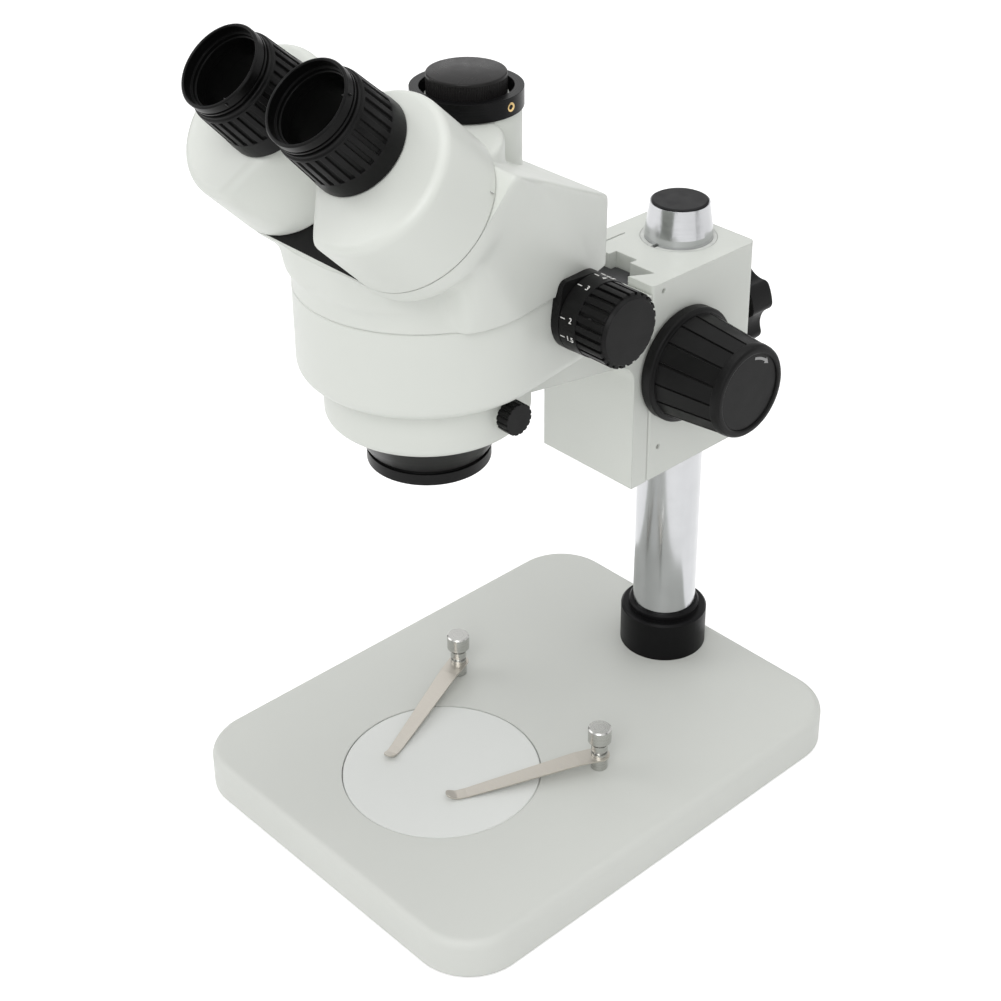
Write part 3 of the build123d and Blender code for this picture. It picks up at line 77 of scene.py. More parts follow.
def make_camera():
    """The camera at the photograph's viewing angle."""
    azimuth, elevation, roll = (radians(a) for a in (CAMERA_AZIMUTH, CAMERA_ELEVATION, CAMERA_ROLL))
    back = Vector((sin(azimuth) * cos(elevation), -cos(azimuth) * cos(elevation), sin(elevation)))
    level = Vector((cos(azimuth), sin(azimuth), 0))
    upward = back.cross(level)
    right = cos(roll) * level + sin(roll) * upward
    top = cos(roll) * upward - sin(roll) * level
    turn = Matrix((right, top, back)).transposed()
    data = bpy.data.cameras.new("camera")
    data.sensor_width = SENSOR
    data.lens = PHOTO_FOCAL / PHOTO_SIDE * SENSOR
    data.shift_y = (PHOTO_CENTRE_Y - PHOTO_SIDE / 2) / PHOTO_SIDE
    data.clip_start = 0.01
    data.clip_end = 50
    camera = bpy.data.objects.new("camera", data)
    camera.matrix_world = Matrix.Translation(CAMERA_PLACE) @ turn.to_4x4()
    bpy.context.scene.collection.objects.link(camera)
    bpy.context.scene.camera = camera


class Shader:
    """A material under construction: short calls that add and join nodes."""

    def __init__(self, name):
        self.material = bpy.data.materials.new(name)
        self.material.use_nodes = True
        self.tree = self.material.node_tree
        self.surface = self.tree.nodes["Principled BSDF"]
        self.place = self.node("ShaderNodeTexCoord").outputs["Object"]

    def node(self, kind, **settings):
        made = self.tree.nodes.new(kind)
        for key, value in settings.items():
            setattr(made, key, value)
        return made

    def join(self, output, target):
        self.tree.links.new(output, target)

    def fixed(self, **values):
        """Numbers and colours that are the same all over, on the shader's own sockets."""
        for key, value in values.items():
            self.surface.inputs[key.replace("_", " ")].default_value = value

    def about(self, origin, axis):
        """Coordinates in a frame whose Z runs along axis from origin."""
        shift = self.node("ShaderNodeVectorMath", operation="SUBTRACT")
        self.join(self.place, shift.inputs[0])
        shift.inputs[1].default_value = origin
        spin = self.node("ShaderNodeVectorRotate", rotation_type="EULER_XYZ")
        self.join(shift.outputs[0], spin.inputs["Vector"])
        spin.inputs["Rotation"].default_value = (
            Vector(axis).rotation_difference(Vector((0, 0, 1))).to_euler()
        )
        self.place = spin.outputs[0]

    def stretched(self, scale):
        """The present coordinates, scaled along each axis."""
        grown = self.node("ShaderNodeVectorMath", operation="MULTIPLY")
        self.join(self.place, grown.inputs[0])
        grown.inputs[1].default_value = scale
        return grown.outputs[0]

    def lathe(self, fine):
        """Coordinates that don't change round the Z axis, for marks left by turning."""
        split = self.node("ShaderNodeSeparateXYZ")
        self.join(self.place, split.inputs[0])
        radius = self.node("ShaderNodeMath", operation="POWER")
        squares = []
        for axis in "XY":
            square = self.node("ShaderNodeMath", operation="MULTIPLY")
            self.join(split.outputs[axis], square.inputs[0])
            self.join(split.outputs[axis], square.inputs[1])
            squares.append(square.outputs[0])
        total = self.node("ShaderNodeMath", operation="ADD")
        self.join(squares[0], total.inputs[0])
        self.join(squares[1], total.inputs[1])
        self.join(total.outputs[0], radius.inputs[0])
        radius.inputs[1].default_value = 0.5
        point = self.node("ShaderNodeCombineXYZ")
        self.join(radius.outputs[0], point.inputs["X"])
        self.join(split.outputs["Z"], point.inputs["Z"])
        grown = self.node("ShaderNodeVectorMath", operation="SCALE")
        self.join(point.outputs[0], grown.inputs[0])
        grown.inputs["Scale"].default_value = fine
        return grown.outputs[0]

    def noise(self, scale, detail=2.0, rough=0.5, at=None):
        made = self.node("ShaderNodeTexNoise")
        self.join(at or self.place, made.inputs["Vector"])
        made.inputs["Scale"].default_value = scale
        made.inputs["Detail"].default_value = detail
        made.inputs["Roughness"].default_value = rough
        return made.outputs["Fac"]

    def ranged(self, value, low, high, start=0.3, end=0.7):
        made = self.node("ShaderNodeMapRange")
        self.join(value, made.inputs["Value"])
        made.inputs["From Min"].default_value = start
        made.inputs["From Max"].default_value = end
        made.inputs["To Min"].default_value = low
        made.inputs["To Max"].default_value = high
        return made.outputs[0]

    def mixed(self, value, first, second, start=0.3, end=0.7):
        ramp = self.node("ShaderNodeValToRGB")
        self.join(value, ramp.inputs["Fac"])
        ramp.color_ramp.elements[0].position = start
        ramp.color_ramp.elements[0].color = first
        ramp.color_ramp.elements[1].position = end
        ramp.color_ramp.elements[1].color = second
        return ramp.outputs["Color"]

    def colour(self, output):
        self.join(output, self.surface.inputs["Base Color"])

    def roughness(self, output):
        self.join(output, self.surface.inputs["Roughness"])

    def bump(self, height, distance, soft_edge=0.0):
        """Small relief of this depth in metres, over edges rounded by soft_edge."""
        made = self.node("ShaderNodeBump")
        made.inputs["Distance"].default_value = distance
        made.inputs["Strength"].default_value = 1.0
        self.join(height, made.inputs["Height"])
        if soft_edge:
            edge = self.node("ShaderNodeBevel", samples=4)
            edge.inputs["Radius"].default_value = soft_edge
            self.join(edge.outputs[0], made.inputs["Normal"])
        self.join(made.outputs[0], self.surface.inputs["Normal"])


def shade(colour, factor):
    """A colour made lighter or darker."""
    return (*(min(1.0, channel * factor) for channel in colour[:3]), 1.0)


def paint(name, colour, rough, peel=0.00002, edge=0.0008):
    """Satin powder coat or enamel: faint cloudiness and orange peel."""
    made = Shader(name)
    cloud = made.noise(14, detail=4)
    made.colour(made.mixed(cloud, shade(colour, 0.985), shade(colour, 1.01)))
    made.roughness(made.ranged(made.noise(220, detail=3), rough - 0.04, rough + 0.05))
    made.bump(made.noise(1400, detail=2), peel, edge)
    made.fixed(IOR=1.48)
    return made.material


def moulded(name, colour, rough, grain=0.00003, grain_scale=2600, edge=0.0004):
    """Moulded black plastic: spark-eroded grain and a little lighter dust."""
    made = Shader(name)
    dust = made.noise(90, detail=5, rough=0.65)
    made.colour(made.mixed(dust, colour, shade(colour, 1.35), 0.35, 0.8))
    made.roughness(made.ranged(made.noise(160, detail=4), rough - 0.05, rough + 0.07))
    made.bump(made.noise(grain_scale, detail=2, rough=0.6), grain, edge)
    made.fixed(IOR=1.5, Specular_IOR_Level=0.12)
    return made.material


def turned_black(name, colour, rough, origin, axis, metal=0.35, depth=0.000008, edge=0.0003):
    """Black anodised or enamelled metal with faint marks from the lathe."""
    made = Shader(name)
    made.about(origin, axis)
    marks = made.noise(1.0, detail=3, rough=0.7, at=made.lathe(2600))
    made.colour(made.mixed(made.noise(60, detail=4), colour, shade(colour, 1.3)))
    made.roughness(made.ranged(marks, rough - 0.07, rough + 0.07))
    made.bump(marks, depth, edge)
    made.fixed(Metallic=metal, Specular_IOR_Level=0.15)
    return made.material


def bright_metal(name, colour, rough, origin, axis, depth=0.000006, edge=0.0002):
    """Turned and plated metal."""
    made = Shader(name)
    made.about(origin, axis)
    marks = made.noise(1.0, detail=3, rough=0.65, at=made.lathe(3200))
    made.colour(made.mixed(made.noise(80, detail=4), shade(colour, 0.93), colour))
    made.roughness(made.ranged(marks, rough - 0.06, rough + 0.08))
    made.bump(marks, depth, edge)
    made.fixed(Metallic=1.0)
    return made.material


def brushed(name, colour, rough, direction, depth=0.000008, edge=0.0002):
    """Flat metal brushed along one direction."""
    made = Shader(name)
    made.about((0, 0, 0), direction)
    grain = made.noise(1.0, detail=4, rough=0.7, at=made.stretched((2400, 2400, 40)))
    made.colour(made.mixed(grain, shade(colour, 0.9), colour, 0.25, 0.75))
    made.roughness(made.ranged(grain, rough - 0.06, rough + 0.1))
    made.bump(grain, depth, edge)
    made.fixed(Metallic=1.0)
    return made.material


def glass(name, colour, rough=0.02):
    """Lens or prism glass with a faint smear."""
    made = Shader(name)
    made.colour(made.mixed(made.noise(120), colour, shade(colour, 0.96)))
    made.roughness(made.ranged(made.noise(40, detail=3), rough, rough + 0.03))
    made.fixed(Transmission_Weight=1.0, IOR=1.52)
    return made.material


def dress(material, *names):
    """Give CAD nodes a material."""
    for name in names:
        piece = nodes[name]
        piece.data.materials.clear()
        piece.data.materials.append(material)


def metres(point):
    """A place in mm as one in metres."""
    return tuple(value * MM for value in point)


def joint_place(name):
    """Where a joint's axis stands, from the frame."""
    for joint in frame["joints"]:
        if joint["name"] == name:
            return joint["pos_m"]
    raise KeyError(name)


def dress_stand():
    """Finishes of the base, pillar, focus block and clips."""
    dress(paint("base_powder_coat", linear(212, 214, 209), 0.46), "base_plate")
    dress(paint("stand_enamel", linear(214, 217, 211), 0.40, peel=0.000015), "focus_block", "carriage")
    dress(paint("stage_acrylic", linear(228, 230, 227), 0.55, peel=0.000001, edge=0.0003), "stage_plate")
    dress(bright_metal("pillar_chrome", linear(196, 197, 199), 0.16, metres(PILLAR), UP, depth=0.000001),
          "pillar")
    dress(turned_black("collar_black", linear(17, 17, 18), 0.42, metres(PILLAR), UP), "pillar_collar")
    dress(moulded("pillar_cap_black", linear(30, 30, 31), 0.4), "pillar_cap")
    dress(moulded("knob_cap_black", linear(17, 17, 17), 0.32, grain=0.00001),
          "knob_cap_left", "knob_cap_right")
    dress(moulded("clamp_knob_black", linear(22, 22, 22), 0.42), "clamp_knob")
    for name in ("left", "right"):
        place = joint_place(f"{name}_clip_turn")
        dress(bright_metal(f"clip_steel_{name}", (0.55, 0.55, 0.53, 1), 0.26, place, UP),
              f"clip_post_{name}")
        dress(brushed(f"clip_spring_{name}", linear(206, 201, 192), 0.36, ACROSS), f"clip_blade_{name}")
    dress(brushed("dovetail_steel", (0.10, 0.10, 0.105, 1), 0.38, UP), "dovetail_slide", "gear_rack")
    dress(moulded("foot_rubber", linear(34, 34, 34), 0.75, grain=0.00005), "rubber_feet")
    dress(moulded("liner_acetal", linear(196, 198, 194), 0.42, grain=0.00001),
          "bore_liner", "friction_washers")


def dress_cad():
    """Every CAD node that stays gets its finish. Returns the looks that new pieces share."""
    dress_stand()
    look = {"body": paint("body_enamel", linear(216, 219, 213), 0.38, peel=0.000012)}
    dress(look["body"], "zoom_body_lower")
    look["knob"] = moulded("knob_black", linear(20, 20, 20), 0.38)
    dress(look["knob"], "zoom_knob_left", "zoom_knob_right", "thumb_knob", "zoom_bezel_left",
          "zoom_bezel_right")
    look["port_cap"] = moulded("port_cap_black", linear(34, 33, 33), 0.30)
    for name in ("left", "right"):
        place = joint_place(f"{name}_diopter_turn")
        look[name] = turned_black(f"eye_tube_black_{name}", linear(13, 13, 13), 0.34, place, EYE_LINE)
    look["diopter"] = moulded("diopter_black", linear(20, 20, 20), 0.34)
    dress(turned_black("optic_black", linear(24, 24, 24), 0.36, metres(OPTIC), UP),
          "objective_cell", "head_spigot", "zoom_barrels")
    dress(turned_black("port_black", linear(14, 14, 15), 0.3, metres(PORT), UP), "port_flange")
    look["seat"] = moulded("seat_black", linear(20, 20, 20), 0.5)
    look["steel"] = bright_metal("plain_steel", (0.55, 0.55, 0.54, 1), 0.28, metres(ZOOM), ACROSS)
    look["dark_screw"] = bright_metal("dark_screw", (0.07, 0.07, 0.07, 1), 0.35, metres(ZOOM), ACROSS)
    look["figures"] = paint("figure_white", linear(235, 235, 232), 0.5, peel=0.000002, edge=0.00005)
    look["arrow"] = paint("arrow_grey", linear(150, 150, 150), 0.45, peel=0.000002, edge=0.00005)
    dress(look["steel"], "pinion_shaft", "zoom_shaft", "clamp_stud", "thumb_stud", "splitter_rod",
          "pillar_bolt", "pillar_foot_plug", "foot_screws", "slide_screws", "gib_screws", "collar_screw")
    look["brass"] = bright_metal("bush_brass", (0.72, 0.52, 0.24, 1), 0.3, metres(PINION), ACROSS)
    dress(look["brass"], "pinion_bushes", "clamp_shoe")
    dress(glass("lens_glass", (0.93, 0.97, 0.98, 1)), "objective_lens", "relay_lens", "zoom_lenses",
          "erecting_prism_left", "erecting_prism_right", "splitter_prism")
    return look


# The inclined seat of the drums, and where the prism and eyepiece axes cross it, in mm
EYE_TILT = 0.70711
SEAT = (0.0, -86.6, 333.4)
PRISM_X = 35.3
EYE_X = 26.0
EYE_U = 6.5


def seat_point(x, u, n):
    """A point in mm by its place on the inclined seat: across, up the face, and out from it."""
    return Vector((x, SEAT[1] + (u - n) * EYE_TILT, SEAT[2] + (u + n) * EYE_TILT))


def finish_mesh(name, data, material, body, slot, *replaced, sharp=30):
    """Turn a mesh in metres into a piece that rides a body."""
    data.materials.append(material)
    data.shade_smooth()
    data.set_sharp_from_angle(angle=radians(sharp))
    piece = bpy.data.objects.new(name, data)
    bpy.context.scene.collection.objects.link(piece)
    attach(piece, body)
    if replaced:
        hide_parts(*replaced)
    return piece


KNOB_PANELS = 16
PANEL_GROOVE = 0.11
PLAIN_STEPS = 96


def slotted(count, share, wall=0.06, land=2):
    """Angles round a piece with count lengthwise slots, each with how deep the slot is there, 0 to 1."""
    pitch = 2 * pi / count
    flat = 1 - share - wall
    steps = [(flat * step / land, 0) for step in range(land + 1)]
    steps += [(1 - share, 1), (1 - share / 2, 1), (1 - wall, 1)]
    return [((turn + place) * pitch, depth) for turn in range(count) for place, depth in steps]


def turned(name, rows, origin, axis, around=None, depth=0.0, panels=0, closed=False):
    """A lathe form. rows are (radius, height, slots 0 or 1) in mm along axis from origin."""
    around = around or [(2 * pi * step / PLAIN_STEPS, 0) for step in range(PLAIN_STEPS)]
    axis = Vector(axis).normalized()
    aside = Vector((1, 0, 0)) if abs(axis.x) < 0.9 else Vector((0, 1, 0))
    second = axis.cross(aside).normalized()
    build = bmesh.new()
    rings = []
    for radius, height, slots in rows:
        middle = Vector(origin) + axis * height
        if radius == 0:
            rings.append([build.verts.new(middle * MM)])
            continue
        ring = []
        for angle, cut in around:
            reach = radius
            if slots and panels:
                pitch = 2 * pi / panels
                off = (angle % pitch) - pitch * (1 - PANEL_GROOVE) / 2
                reach = radius * cos(pitch / 2) / cos(min(max(off, -pitch / 2), pitch / 2))
            reach -= depth * cut * slots
            ring.append(build.verts.new((middle + (aside * cos(angle) + second * sin(angle)) * reach) * MM))
        rings.append(ring)
    pairs = list(zip(rings, rings[1:]))
    if closed:
        pairs.append((rings[-1], rings[0]))
    for low, high in pairs:
        count = max(len(low), len(high))
        for step in range(count):
            after = (step + 1) % count
            corners = [low[step % len(low)]]
            if len(low) > 1:
                corners.append(low[after])
            if len(high) > 1:
                corners.append(high[after])
            corners.append(high[step % len(high)])
            build.faces.new(corners)
    bmesh.ops.recalc_face_normals(build, faces=build.faces)
    data = bpy.data.meshes.new(name)
    build.to_mesh(data)
    build.free()
    return data


def plain(*rows):
    """Rows of a lathe form with no slots."""
    return [(radius, height, 0) for radius, height in rows]


# The upper casing, in mm and degrees. Edges of its plan and roof are (x, y), the seat's edge is (u, x),
# the roof's ridge is (y, z), and the chin's levels are (radius, z)
CASING_RADIUS = 54.5
CASING_DRAFT = 8.4
CASING_SEAM = 283.0
CASING_FOOT = CASING_SEAM - 7.0
CASING_SHOULDER = 301.0
CASING_VOXEL = 1.1
SEAM_GAP = 0.15
FLANK_FRONT = -78.0
FLANK_ROUNDS = 80
EDGE_ROUNDS = 8
PLAN_STEPS = 48
CHIN_PLACE = (8.0, -71.0)
CHIN_LEVELS = ((40.5, 350.0), (40.5, 306.0), (38.4, 293.0), (34.0, 287.0))
SEAT_GAP = -0.5
SEAT_EXCESS = 5.0
SEAT_EDGE = ((-4.0, 69.8), (0.0, 70.1), (12.0, 70.1), (20.0, 70.1), (25.0, 70.0), (26.6, 68.6),
             (26.8, 66.0))
DRUM_RADIUS = 34.8
ROOF_RIDGE = (-50.0, 343.0)
ROOF_FALL = 27.0
ROOF_EDGE = ((62.4, -49.5), (60.8, -42.0), (59.6, -35.0), (56.9, -24.0), (52.0, -10.0), (48.2, 2.5),
             (45.6, 6.6), (43.0, 8.4), (39.5, 9.0))
ROOF_FLARE = ((69.6, -64.0), (66.7, -58.0), (62.4, -49.5))
REAR_CORNER = ((46.9, 1.5), (45.7, 5.4), (43.2, 8.0), (39.5, 9.0))


def roof_height(y):
    """Height of the sloping roof above y."""
    return ROOF_RIDGE[1] - (y - ROOF_RIDGE[0]) * tan(radians(ROOF_FALL))


def casing_plan(z, behind=None):
    """The casing's plan: round in front, flanks that close in, rounded rear corners. All of it, or what is
    behind some y."""
    draft = radians(CASING_DRAFT)
    points = []
    for step in range(PLAN_STEPS + 1):
        angle = draft - (pi + 2 * draft) * step / PLAN_STEPS
        points.append(Vector((CASING_RADIUS * cos(angle), OPTIC[1] + CASING_RADIUS * sin(angle), z)))
    if behind is not None:
        points = [point for point in points if point.y > behind]
    for side in (-1, 1):
        points += [Vector((side * x, y, z)) for x, y in REAR_CORNER]
    return points


def add_hull(build, points):
    """The convex skin round some points, in mm."""
    corners = [build.verts.new(point * MM) for point in points]
    made = bmesh.ops.convex_hull(build, input=corners)
    loose = made["geom_interior"] + made["geom_unused"]
    points = {item for item in loose if isinstance(item, bmesh.types.BMVert)}
    bmesh.ops.delete(build, geom=list(points), context="VERTS")


def soften(data, rounds, share=0.5, where=None):
    """Round a dense mesh's edges by moving each point towards its neighbours."""
    points = np.empty(len(data.vertices) * 3)
    data.vertices.foreach_get("co", points)
    points = points.reshape(-1, 3)
    ends = np.empty(len(data.edges) * 2, dtype=int)
    data.edges.foreach_get("vertices", ends)
    ends = ends.reshape(-1, 2)
    number = np.bincount(ends.ravel(), minlength=len(points))[:, None]
    weight = share * (where(points / MM)[:, None] if where else 1.0)
    for _ in range(rounds):
        total = np.zeros_like(points)
        np.add.at(total, ends[:, 0], points[ends[:, 1]])
        np.add.at(total, ends[:, 1], points[ends[:, 0]])
        points += weight * (total / number - points)
    data.vertices.foreach_set("co", points.ravel())
    data.update()


def cut_flat(build, point, normal):
    """Cut off what lies beyond a plane and close the cut."""
    everything = build.verts[:] + build.edges[:] + build.faces[:]
    cut = bmesh.ops.bisect_plane(build, geom=everything, plane_co=point, plane_no=normal, clear_outer=True)
    rim = [item for item in cut["geom_cut"] if isinstance(item, bmesh.types.BMEdge)]
    bmesh.ops.contextual_create(build, geom=rim)


def circle(x, y, radius, z, steps=64):
    """Points on a level circle."""
    return [Vector((x + radius * cos(2 * pi * step / steps), y + radius * sin(2 * pi * step / steps), z))
            for step in range(steps)]


def seat_outline(radius, n, top=90.0):
    """The outline of both drums' seats together, no higher up the face than top."""
    points = []
    for side in (-1, 1):
        for step in range(73):
            angle = 2 * pi * step / 72
            if side * cos(angle) > -0.01:
                height = min(radius * sin(angle), top)
                points.append(seat_point(side * PRISM_X + radius * cos(angle), height, n))
    return points


def fade(value, start, width):
    """0 up to start, 1 from start + width on."""
    return np.clip((value - start) / width, 0.0, 1.0)


def flank_weight(points):
    """Where the flanks' hulls meet: fades out towards the seat, the roof's edge, the seam and the front."""
    x, y, z = points.T
    out = (z - SEAT[2] - y + SEAT[1]) * EYE_TILT
    above = roof_height(y) - z
    along = fade(y, -92.0, 10.0) * fade(-y, 15.0, 10.0)
    upright = fade(z, 284.0, 6.0) * fade(above, 4.0, 5.0)
    return along * upright * fade(-out, 4.0, 6.0) * fade(np.abs(x), 44.0, 6.0)


def make_casing(material):
    """Upper casing: its flanks flare out to the prism drums, and the roof runs up to their seat."""
    build = bmesh.new()
    seat = seat_outline(DRUM_RADIUS, SEAT_EXCESS, 2.0) + seat_outline(DRUM_RADIUS, -8.5, 12.0)
    add_hull(build, seat + seat_outline(DRUM_RADIUS - 16.0, -24.5, 12.0))
    chin = []
    for side in (-1, 1):
        for radius, z in CHIN_LEVELS:
            chin += circle(side * CHIN_PLACE[0], CHIN_PLACE[1], radius, z)
    add_hull(build, chin)
    add_hull(build, casing_plan(CASING_FOOT) + casing_plan(CASING_SHOULDER))
    flank = casing_plan(CASING_FOOT, behind=FLANK_FRONT)
    rear = casing_plan(CASING_FOOT)
    for side in (-1, 1):
        for u, x in SEAT_EDGE:
            flank.append(seat_point(side * x, u, SEAT_GAP))
            if u <= 0:
                flank.append(seat_point(side * x, u, SEAT_EXCESS))
        flank += [Vector((side * x, y, roof_height(y))) for x, y in ROOF_FLARE]
        rear += [Vector((side * x, y, roof_height(y))) for x, y in ROOF_EDGE]
    add_hull(build, flank)
    add_hull(build, rear)
    bmesh.ops.recalc_face_normals(build, faces=build.faces)
    rough = bpy.data.meshes.new("casing_rough")
    build.to_mesh(rough)
    build.free()
    piece = bpy.data.objects.new("casing_rough", rough)
    bpy.context.scene.collection.objects.link(piece)
    remesh = piece.modifiers.new("remesh", "REMESH")
    remesh.mode = "VOXEL"
    remesh.voxel_size = CASING_VOXEL * MM
    bpy.context.view_layer.update()
    data = bpy.data.meshes.new_from_object(piece.evaluated_get(bpy.context.evaluated_depsgraph_get()))
    bpy.data.objects.remove(piece)
    soften(data, FLANK_ROUNDS, where=flank_weight)
    soften(data, EDGE_ROUNDS)
    build = bmesh.new()
    build.from_mesh(data)
    cut_flat(build, Vector((0, 0, CASING_SEAM + SEAM_GAP)) * MM, Vector((0, 0, -1)))
    cut_flat(build, seat_point(0, 0, SEAT_GAP) * MM, Vector(EYE_LINE))
    bmesh.ops.recalc_face_normals(build, faces=build.faces)
    build.to_mesh(data)
    build.free()
    data.name = "upper_casing"
    data.materials.clear()
    finish_mesh("upper_casing", data, material, "head", "white_head", "zoom_body_upper", sharp=38)


DRUM_LENGTH = 32.5
DRUM_TAPER = 0.6
DRUM_EDGE = 4.0
DRUM_CORNER = 30
DRUM_STEPS = 144
NO_FLAT = 1e6
# Name, side, which way the flat faces in degrees, and its distance from the axis at the seat and the top
DRUM_SHAPES = (("left", -1, -19.0, 33.5, 19.6), ("right", 1, -144.5, 31.5, 24.6))


def drum_ring(side, way, chord, radius, n):
    """One level of a prism drum: a circle cut by a flat, with rounded corners."""
    ring = []
    for step in range(DRUM_STEPS):
        angle = 2 * pi * step / DRUM_STEPS
        facing = cos(angle - radians(way))
        flat = chord / facing if facing > 0.05 else NO_FLAT
        reach = (radius ** -DRUM_CORNER + flat ** -DRUM_CORNER) ** (-1 / DRUM_CORNER)
        ring.append(seat_point(side * PRISM_X + reach * cos(angle), reach * sin(angle), n))
    return ring


def make_drums(material):
    """Prism drums: full circles at the seat, with a leaning flat towards the other drum."""
    for name, side, way, low_chord, high_chord in DRUM_SHAPES:
        levels = [(n, 0.0) for n in (0.0, 7.0, 14.0, 21.0, DRUM_LENGTH - DRUM_EDGE)]
        for step in range(1, 9):
            angle = pi / 2 * step / 8
            levels.append((DRUM_LENGTH - DRUM_EDGE + DRUM_EDGE * sin(angle), DRUM_EDGE * (1 - cos(angle))))
        build = bmesh.new()
        rings = []
        for n, inset in levels:
            share = n / DRUM_LENGTH
            chord = low_chord + (high_chord - low_chord) * share - inset
            radius = DRUM_RADIUS - DRUM_TAPER * share - inset
            rings.append([build.verts.new(point * MM) for point in drum_ring(side, way, chord, radius, n)])
        for low, high in zip(rings, rings[1:]):
            for step in range(len(low)):
                after = (step + 1) % len(low)
                build.faces.new((low[step], low[after], high[after], high[step]))
        build.faces.new(rings[0][::-1])
        build.faces.new(rings[-1])
        bmesh.ops.recalc_face_normals(build, faces=build.faces)
        data = bpy.data.meshes.new(f"prism_drum_{name}")
        build.to_mesh(data)
        build.free()
        finish_mesh(f"prism_drum_{name}", data, material, f"{name}_prism", "white_head",
                    f"prism_housing_{name}", sharp=50)


def make_port_tube(material):
    """White tube of the photo port, down into the roof."""
    rows = plain((22.3, 322.0), (22.3, 350.2), (22.0, 350.5), (17.0, 350.5), (17.0, 355.0), (15.2, 355.0),
                 (15.2, 322.0))
    data = turned("port_tube_skin", rows, PORT, UP, closed=True)
    finish_mesh("port_tube_skin", data, material, "head", "white_head", "port_tube")


PLATE_RADIUS = 34.2
PLATE_TOP = 24.5
PLATE_LEVELS = (-0.4, -2.2)


def make_seat_plate(material):
    """Dark plate under the drums, ended below the roof's ridge."""
    outline = []
    for side in (1, -1):
        low, high = (-pi / 2, pi / 4) if side > 0 else (3 * pi / 4, 3 * pi / 2)
        for step in range(41):
            angle = low + (high - low) * step / 40
            height = min(PLATE_RADIUS * sin(angle), PLATE_TOP)
            outline.append((side * PRISM_X + PLATE_RADIUS * cos(angle), height))
    build = bmesh.new()
    top, bottom = ([build.verts.new(seat_point(x, u, n) * MM) for x, u in outline] for n in PLATE_LEVELS)
    build.faces.new(top)
    build.faces.new(bottom[::-1])
    for step in range(len(top)):
        after = (step + 1) % len(top)
        build.faces.new((top[step], bottom[step], bottom[after], top[after]))
    bmesh.ops.remove_doubles(build, verts=build.verts, dist=1e-6)
    bmesh.ops.recalc_face_normals(build, faces=build.faces)
    data = bpy.data.meshes.new("seat_plate")
    build.to_mesh(data)
    build.free()
    finish_mesh("seat_plate", data, material, "head", "black_anodised", "prism_seat_plate")


RING_SLOTS = 28


def make_eyepieces(tube_look, ring_look):
    """Eyepiece tubes with a grooved rim and stepped socket, and ribbed diopter rings."""
    tube = plain((17.0, 32.6), (17.0, 60.0), (17.7, 60.1), (17.7, 60.8), (18.3, 60.9), (18.3, 61.7),
                 (17.6, 61.8), (17.6, 62.4), (18.2, 62.5), (18.15, 65.8), (17.75, 66.3), (17.2, 66.4),
                 (16.8, 66.1), (16.7, 62.2), (15.9, 62.1), (15.8, 60.6), (15.25, 60.5), (15.25, 36.5),
                 (13.0, 36.4), (13.0, 32.6))
    slots = slotted(RING_SLOTS, 0.45)
    ring = plain((17.3, 32.9), (20.6, 32.9), (21.0, 33.3), (20.95, 37.0), (20.6, 40.6), (20.5, 41.4))
    ring += [(20.45, 41.5, 1), (20.1, 48.0, 1), (19.6, 57.2, 1)]
    ring += plain((19.55, 57.3), (19.35, 58.0), (18.7, 58.2), (18.6, 59.4), (18.4, 59.6), (17.3, 59.6))
    for side, name in ((-1, "left"), (1, "right")):
        foot = seat_point(side * EYE_X, EYE_U, 0)
        data = turned(f"eye_tube_{name}", tube, foot, EYE_LINE, closed=True)
        finish_mesh(f"eye_tube_{name}", data, tube_look[name], f"{name}_prism", "black_anodised",
                    f"eyepiece_tube_{name}")
        data = turned(f"diopter_{name}", ring, foot, EYE_LINE, slots, depth=1.0, closed=True)
        finish_mesh(f"diopter_{name}", data, ring_look, f"{name}_diopter", "black_plastic",
                    f"diopter_ring_{name}", sharp=25)


def make_focus_knobs(material):
    """Focus knobs: flange, sixteen panels with narrow grooves, and a smooth end round the recessed cap."""
    slots = slotted(KNOB_PANELS, PANEL_GROOVE, 0.02, land=6)
    rows = plain((0, 30.0), (27.5, 30.0), (28.0, 30.5), (28.0, 35.0), (27.5, 35.6), (26.3, 36.0),
                 (26.0, 36.3))
    rows += [(25.6, 36.4, 1), (22.55, 66.4, 1)]
    rows += plain((22.5, 66.5), (22.3, 68.8), (21.9, 70.0), (21.1, 70.8), (20.2, 71.0), (19.2, 70.95),
                  (18.6, 70.6), (18.5, 70.2), (18.5, 68.2), (0, 68.2))
    for side, name in ((-1, "left"), (1, "right")):
        data = turned(f"focus_grip_{name}", rows, PINION, (side, 0, 0), slots, depth=0.9,
                      panels=KNOB_PANELS)
        finish_mesh(f"focus_grip_{name}", data, material, "pinion", "black_plastic", f"focus_knob_{name}",
                    sharp=22)


CAP_KNURLS = 96


def make_port_cap(material):
    """Dust cap with straight knurling round its side and a plug below."""
    slots = slotted(CAP_KNURLS, 0.5, 0.2)
    rows = plain((0, 345.2), (14.4, 345.2), (14.9, 345.7), (14.9, 355.1), (16.2, 355.1), (16.5, 355.4),
                 (16.5, 356.2))
    rows += [(16.5, 356.3, 1), (16.5, 362.9, 1)]
    rows += plain((16.5, 363.0), (16.45, 363.9), (16.2, 364.3), (15.7, 364.5), (0, 364.5))
    data = turned("dust_cap", rows, PORT, UP, slots, depth=0.3)
    finish_mesh("dust_cap", data, material, "dust_cap", "black_plastic", "port_cap", sharp=25)


SCREW_STEPS = 24


